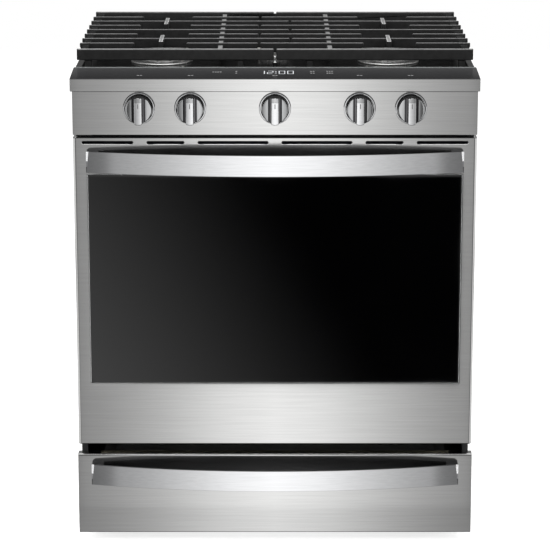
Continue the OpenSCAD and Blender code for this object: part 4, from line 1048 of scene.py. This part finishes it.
def knob_shade(face, at):
    """Which copy of the knob's metal a face has: its grip's, black painted shade on its side and rim,
    painted shade in its valleys, or a painted highlight on its ridge.
    """
    u = abs(at.x)
    in_side = face.normal.y > -0.3 and u > RIDGE_HALF + RIDGE_ROUND
    if in_side or math.hypot(at.x, at.z) > KNOB_RADIUS - RIM_DARK:
        return 1
    if VALLEY[0] < u < VALLEY[1]:
        return 2
    return 3 if u < RIDGE_HALF and at.z < RIDGE_SLOPE + 1.5 * MM else 0


def add_knob(bm, centre, back):
    """One knob, which faces -Y with its back at this depth."""
    part = bmesh.new()
    columns = [-u * MM for u in reversed(KNOB_COLUMNS)] + [0.0] + [u * MM for u in KNOB_COLUMNS]
    rows = []
    for k in range(KNOB_CUTS + 1):
        v = -KNOB_RADIUS * math.cos(math.pi * k / KNOB_CUTS)
        chord = math.sqrt(max(0, KNOB_RADIUS ** 2 - v ** 2))
        row = [max(-chord, min(chord, u)) for u in columns]
        rows.append([part.verts.new((centre.x + u, back - KNOB_BASE - knob_height(u, v), centre.z + v))
                     for u in row])
    for one, two in zip(rows, rows[1:]):
        skin(part, one, two, closed=False)
    bmesh.ops.remove_doubles(part, verts=part.verts, dist=1e-6)
    bmesh.ops.dissolve_degenerate(part, edges=part.edges, dist=1e-6)
    side = bmesh.ops.extrude_edge_only(part, edges=[e for e in part.edges if e.is_boundary])
    for vert in [v for v in side["geom"] if isinstance(v, bmesh.types.BMVert)]:
        vert.co.y = back
    bmesh.ops.contextual_create(part, geom=[e for e in part.edges if e.is_boundary])
    shade_round(part)
    part.normal_update()
    dress(part, lambda face, at: knob_shade(face, at - centre))
    join(bm, part)


def add_line(name, centre, tip, knob):
    """The dark line near the top of a knob's ridge."""
    bm = bmesh.new()
    top = centre.z + RIDGE_SLOPE - 0.5 * MM
    add_block(bm, (centre.x - LINE_HALF, tip - 0.05 * MM, top - LINE_LONG),
              (centre.x + LINE_HALF, tip + 0.3 * MM, top))
    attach(made(name, bm, "index_ink"), knob["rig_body"])


class RANGE_OT_knobs(bpy.types.Operator):
    """Makes the five scooped knobs with their index lines"""

    bl_idname = "range.knobs"
    bl_label = "Knobs"

    def execute(self, context):
        for i, centre in enumerate(KNOB_MIDDLES, 1):
            node = f"knob_{i}"
            low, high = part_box(node)
            bm = bmesh.new()
            add_knob(bm, centre, high.y)
            # one metal in four copies: the grip, black and darker painted shade, and a painted highlight
            knob = made(f"turn_knob_{i}", bm, "knob_metal", "dull_black", "knob_shade", "satin_metal")
            stand_in(knob, node)
            add_line(f"knob_line_{i}", centre, low.y, knob)
        return {"FINISHED"}


# ---------------- console


# The bars that each figure of the clock lights. All measures on the glass are in mm: across from the
# range's middle, and up from the glass's front edge.
BARS_OF = {"0": "abcdef", "1": "bc", "2": "abged"}
FIGURE_WIDE, FIGURE_TALL, FIGURE_BAR = 12, 26, 1.6
FIGURE_STEP = 16
CLOCK_FOOT = 42
CLOCK_HALVES = ((-31, "12"), (7, "00"))
CLOCK_DOTS = ((0.5, 48, 3, 51.5), (0.5, 59, 3, 62.5))

# Two marks over each knob, and rows of (place, height, number) beside the clock.
KNOB_MARKS = (-5.0, 0.6)
KNOB_MARK_FOOT, KNOB_MARK_HEAD, KNOB_MARK_LONG = 27, 30.5, 4.4
KEY_MARKS = ((-117, 56, 4), (-74, 62, 1), (-74, 46, 1), (66, 62, 2), (66, 46, 2), (96, 62, 3), (96, 46, 3))
KEY_MARK_STEP, KEY_MARK_LONG, KEY_MARK_TALL = 4.6, 3.2, 5


class Glass:
    """The sloping face of the touch glass, from its front edge to its back."""

    def __init__(self):
        points = [v.co for v in frame["nodes"]["touch_glass"].data.vertices]
        low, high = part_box("touch_glass")
        self.front = Vector((0, low.y, max(p.z for p in points if p.y < low.y + MM)))
        self.back = Vector((0, high.y, max(p.z for p in points if p.y > high.y - MM)))
        self.half = high.x
        self.along = (self.back - self.front).normalized()
        self.up = Vector((0, -self.along.z, self.along.y))

    def bar(self, bm, x0, d0, x1, d1):
        """A thin bar that lies on the glass."""
        low = [Vector((x * MM, 0, 0)) + self.front + self.along * (d * MM) + self.up * (0.01 * MM)
               for x, d in ((x0, d0), (x1, d0), (x1, d1), (x0, d1))]
        high = [bm.verts.new(p + self.up * (0.05 * MM)) for p in low]
        low = [bm.verts.new(p) for p in low]
        skin(bm, low, high)
        bm.faces.new(list(reversed(low)))
        bm.faces.new(high)


def figure_bars(text, x, d):
    """The lit bars of one figure, named a to g clockwise from the top."""
    t = FIGURE_BAR
    gap = t * 0.25
    right, top, mid = x + FIGURE_WIDE, d + FIGURE_TALL, d + FIGURE_TALL / 2
    bars = {"a": (x + t, top - t, right - t, top), "b": (right - t, mid + gap, right, top - gap),
            "c": (right - t, d + gap, right, mid - gap), "d": (x + t, d, right - t, d + t),
            "e": (x, d + gap, x + t, mid - gap), "f": (x, mid + gap, x + t, top - gap),
            "g": (x + t, mid - t / 2, right - t, mid + t / 2)}
    return [bars[name] for name in BARS_OF[text]]


def clock_bars():
    for start, figures in CLOCK_HALVES:
        for i, text in enumerate(figures):
            yield from figure_bars(text, start + i * FIGURE_STEP, CLOCK_FOOT)
    yield from CLOCK_DOTS


def mark_bars():
    """The keys' marks, as plain bars."""
    for centre in KNOB_MIDDLES:
        for step in KNOB_MARKS:
            x = centre.x / MM + step
            yield x, KNOB_MARK_FOOT, x + KNOB_MARK_LONG, KNOB_MARK_HEAD
    for start, d, count in KEY_MARKS:
        for k in range(count):
            x = start + k * KEY_MARK_STEP
            yield x, d, x + KEY_MARK_LONG, d + KEY_MARK_TALL


def add_rim_highlight(back, half):
    """A thin pale strip along the back of the glass: a painted highlight of its rear edge."""
    bm = bmesh.new()
    add_block(bm, (-half, back.y - 1.4 * MM, back.z - 0.3 * MM),
              (half, back.y - 0.2 * MM, back.z + 1.1 * MM), 0.2 * MM)
    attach(made("console_edge_highlight", bm, "rim_painted_highlight"), "cabinet")


class RANGE_OT_console(bpy.types.Operator):
    """Makes the black touch console with its clock and plain marks"""

    bl_idname = "range.console"
    bl_label = "Touch console"

    def execute(self, context):
        softened("console_glass", "touch_glass", 0.5 * MM, looks=["console_glass"])
        softened("console_case", "console_housing", 0.6 * MM)
        glass = Glass()
        for name, bars, look in (("clock_digits", clock_bars(), "display_light"),
                                 ("console_marks", mark_bars(), "legend_print")):
            bm = bmesh.new()
            for bar in bars:
                glass.bar(bm, *bar)
            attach(made(name, bm, look), "cabinet")
        add_rim_highlight(glass.back, glass.half - 0.8 * MM)
        return {"FINISHED"}


# ---------------- cooktop


class RANGE_OT_cooktop(bpy.types.Operator):
    """Makes the enamelled pan under the burners"""

    bl_idname = "range.cooktop"
    bl_label = "Cooktop"

    def execute(self, context):
        softened("enamel_pan", "cooktop_pan", 1.2 * MM, 3)
        return {"FINISHED"}


HEAD_TALL = 13 * MM
RING_THICK = 3.5 * MM
RING_LIP = 2.2 * MM


def add_heads():
    """The burners' alloy heads, each on a base ring whose flat top has painted shade in a dark copy of the
    alloy, so that only its lip shows bright.
    """
    bm = node_mesh("burner_heads")
    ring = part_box("burner_heads")[1].z - HEAD_TALL + RING_THICK
    near = 0.2 * MM
    lips = [e for e in sharp_edges(bm) if e.is_convex and all(abs(v.co.z - ring) < near for v in e.verts)]
    bevel(bm, lips, RING_LIP, 3)
    round_edges(bm, 0.35 * MM)
    dress(bm, lambda face, at: face.normal.z > 0.97 and at.z < ring + near)
    stand_in(made("flame_heads", bm, "burner_alloy", "alloy_painted_shade"), "burner_heads")


class RANGE_OT_burners(bpy.types.Operator):
    """Makes the burners' alloy heads, enamelled caps and spark electrodes"""

    bl_idname = "range.burners"
    bl_label = "Burners"

    def execute(self, context):
        add_heads()
        softened("flame_caps", "burner_caps", 1.0 * MM, 3)
        softened("spark_pins", "spark_electrodes", 0.2 * MM)
        return {"FINISHED"}


BAR_TOP = 6 * MM            # how far below a grate's top its bars carry a painted highlight
SIDE_RAIL_X = 354 * MM
FINGER_X = 221 * MM         # the line of fingers over the side burners
FINGER_NEAR = 6 * MM
FINGER_WIDE = 9.5 * MM
PIN_HEAD = 11.5 * MM


def add_grate(node):
    """One grate: a painted highlight on its bar tops, a brighter painted glint on the short fingers over its
    burners, and painted shade on its side rails' tops.
    """
    bm = node_mesh(node)
    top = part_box(node)[1].z
    round_edges(bm, sizes().iron_round, 3)
    bm.normal_update()

    def painted_light_pick(face, at):
        if face.normal.z < 0.8 or at.z < top - BAR_TOP:
            return 0
        if abs(at.x) > SIDE_RAIL_X:
            return 3
        xs = [v.co.x for v in face.verts]
        finger = abs(abs(at.x) - FINGER_X) < FINGER_NEAR and max(xs) - min(xs) < FINGER_WIDE
        return 2 if finger else 1

    dress(bm, painted_light_pick)
    if node == "grate_left":
        add_tongue(bm)
    stand_in(made("iron_" + node, bm, "cast_iron", "iron_painted_highlight", "iron_painted_glint", "dull_black"), node)


def add_tongue(bm):
    """The lug on the left grate that closes most of the gap between the two back rails."""
    here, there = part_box("grate_left")[1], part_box("grate_right")[0]
    add_block(bm, (-7 * MM, here.y - 10 * MM, here.z - 17 * MM),
              (max(here.x, there.x - 0.5 * MM), here.y - 2 * MM, here.z - 4 * MM), 0.3 * MM)


class RANGE_OT_grates(bpy.types.Operator):
    """Makes the two cast-iron grates and the pin between them"""

    bl_idname = "range.grates"
    bl_label = "Grates"

    def execute(self, context):
        for node in ("grate_left", "grate_right"):
            add_grate(node)
        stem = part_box("grate_pin")[1].z - PIN_HEAD
        softened("locating_pin", "grate_pin", 0.4 * MM, looks=("trim_steel", "black_enamel"),
                 pick=lambda face, at: at.z < stem)
        return {"FINISHED"}


# ---------------- cabinet and oven


def shells(bm):
    """The corners of each separate shell in a mesh."""
    seen = set()
    for vert in bm.verts:
        shell, heap = [], [vert]
        while heap:
            here = heap.pop()
            if here not in seen:
                seen.add(here)
                shell.append(here.co.copy())
                heap += [edge.other_vert(here) for edge in here.link_edges]
        if shell:
            yield shell


def add_screws():
    """The back panel's screws, one for each in the frame: a six-sided head on a washer and a shank."""
    bm = node_mesh("back_screws")
    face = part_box("back_screws")[1].y
    places = []
    for shell in shells(bm):
        x, z = ((min(p[i] for p in shell) + max(p[i] for p in shell)) / 2 for i in (0, 2))
        places.append((x, face, z))
    bm.free()
    rule = Rule("screws", head_radius=4.5 * MM, head_height=2.5 * MM, shank_radius=2 * MM,
                shank_length=9 * MM)
    head = rule.grow("MeshCylinder", Radius="head_radius", Depth="head_height", Vertices=6)
    washer = rule.grow("MeshCone", Radius_Top=3.4 * MM, Radius_Bottom=5.2 * MM,
                      Depth=1.0 * MM, Vertices=24)
    shank = rule.grow("MeshCylinder", Radius="shank_radius", Depth="shank_length", Vertices=12)
    parts = [rule.grow("Transform", Geometry=part, Translation=(0, 0, -depth * MM))
             for part, depth in ((head, 1.25), (washer, 2.5), (shank, 6))]
    copies = rule.grow("InstanceOnPoints", Points="Geometry", Instance=rule.joined(*parts),
                       Rotation=(math.radians(-90), 0, 0))
    stand_in(rule.run(copies, finish("plated_steel"), places), "back_screws")


class RANGE_OT_cabinet(bpy.types.Operator):
    """Makes the painted sides, the base, the legs, and the back with its screws"""

    bl_idname = "range.cabinet"
    bl_label = "Cabinet"

    def execute(self, context):
        for name, node, width in (
            ("side_left", "side_panel_left", 0.7), ("side_right", "side_panel_right", 0.7),
            ("plinth", "base_frame", 0.4), ("feet", "levelling_legs", 0.4),
            ("rear_cover", "back_panel", 0.25), ("cord_gland", "power_gland", 0.3),
        ):
            softened(name, node, width * MM)
        add_screws()
        return {"FINISHED"}


ROD_RADIUS = 3 * MM
WIRE_RADIUS = 1.8 * MM
WIRE_COUNT = 16


def add_rack(node):
    """A wire rack: a frame of three cross rods and two side rods, and wires from front to back."""
    low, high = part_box(node)
    x = high.x - ROD_RADIUS
    y0, y1 = low.y + ROD_RADIUS, high.y - ROD_RADIUS
    z = low.z + ROD_RADIUS
    wire_z = z + 0.5 * MM
    step = 2 * x / (WIRE_COUNT + 1)
    rule = Rule(node + "_wires", rod_radius=ROD_RADIUS, wire_radius=WIRE_RADIUS, wire_count=WIRE_COUNT)

    def rods(radius, start, end, number, offset):
        line = rule.grow("CurvePrimitiveLine", Start=start, End=end)
        points = rule.grow("MeshLine", Count=number, Offset=offset)
        copies = rule.grow("InstanceOnPoints", Points=points, Instance=line)
        real = rule.grow("RealizeInstances", Geometry=copies)
        ring = rule.grow("CurvePrimitiveCircle", Resolution=12, Radius=radius)
        return rule.grow("CurveToMesh", Curve=real, Profile_Curve=ring, Fill_Caps=True)

    first = step - x
    wires = rods("wire_radius", (first, y0, wire_z), (first, y1, wire_z), "wire_count", (step, 0, 0))
    cross = rods("rod_radius", (-x, y0, z), (x, y0, z), 3, (0, (y1 - y0) / 2, 0))
    sides = rods("rod_radius", (-x, y0, z), (-x, y1, z), 2, (2 * x, 0, 0))
    stand_in(rule.run(rule.joined(wires, cross, sides), finish("rack_chrome")), node)


class RANGE_OT_oven(bpy.types.Operator):
    """Makes the wire racks in the oven"""

    bl_idname = "range.oven"
    bl_label = "Oven"

    def execute(self, context):
        for node in ("rack_upper", "rack_lower"):
            add_rack(node)
        return {"FINISHED"}


class RANGE_OT_fittings(bpy.types.Operator):
    """Rounds the gas regulator, its lever and the fan"""

    bl_idname = "range.fittings"
    bl_label = "Fittings"

    def execute(self, context):
        for name, node, width in (
            ("gas_regulator", "regulator", 0.6), ("gas_lever", "shutoff_lever", 0.5),
            ("fan_guard", "fan_cover", 0.4), ("fan_wheel", "fan_blade", 0.3),
        ):
            softened(name, node, width * MM)
        return {"FINISHED"}


# ---------------- panel and run


STEPS = (RANGE_OT_stage, RANGE_OT_finishes, RANGE_OT_cabinet, RANGE_OT_door, RANGE_OT_handles,
         RANGE_OT_drawer, RANGE_OT_control_panel, RANGE_OT_knobs, RANGE_OT_console, RANGE_OT_cooktop,
         RANGE_OT_burners, RANGE_OT_grates, RANGE_OT_oven, RANGE_OT_fittings)


class RANGE_PT_panel(bpy.types.Panel):
    """Lists the range's building steps"""

    bl_label = "Gas Range"
    bl_idname = "RANGE_PT_panel"
    bl_space_type = "VIEW_3D"
    bl_region_type = "UI"
    bl_category = "Range"

    def draw(self, context):
        for step in STEPS:
            self.layout.operator(step.bl_idname)


CLASSES = (RangeSizes, RangeColours, *STEPS, RANGE_PT_panel)


def register():
    for kind in CLASSES:
        bpy.utils.register_class(kind)
    bpy.types.Scene.range_sizes = bpy.props.PointerProperty(type=RangeSizes)
    bpy.types.Scene.range_colours = bpy.props.PointerProperty(type=RangeColours)


def unregister():
    del bpy.types.Scene.range_colours
    del bpy.types.Scene.range_sizes
    for kind in reversed(CLASSES):
        bpy.utils.unregister_class(kind)


def main():
    register()
    for step in STEPS:
        group, name = step.bl_idname.split(".")
        getattr(getattr(bpy.ops, group), name)()


if __name__ == "__main__":
    main()
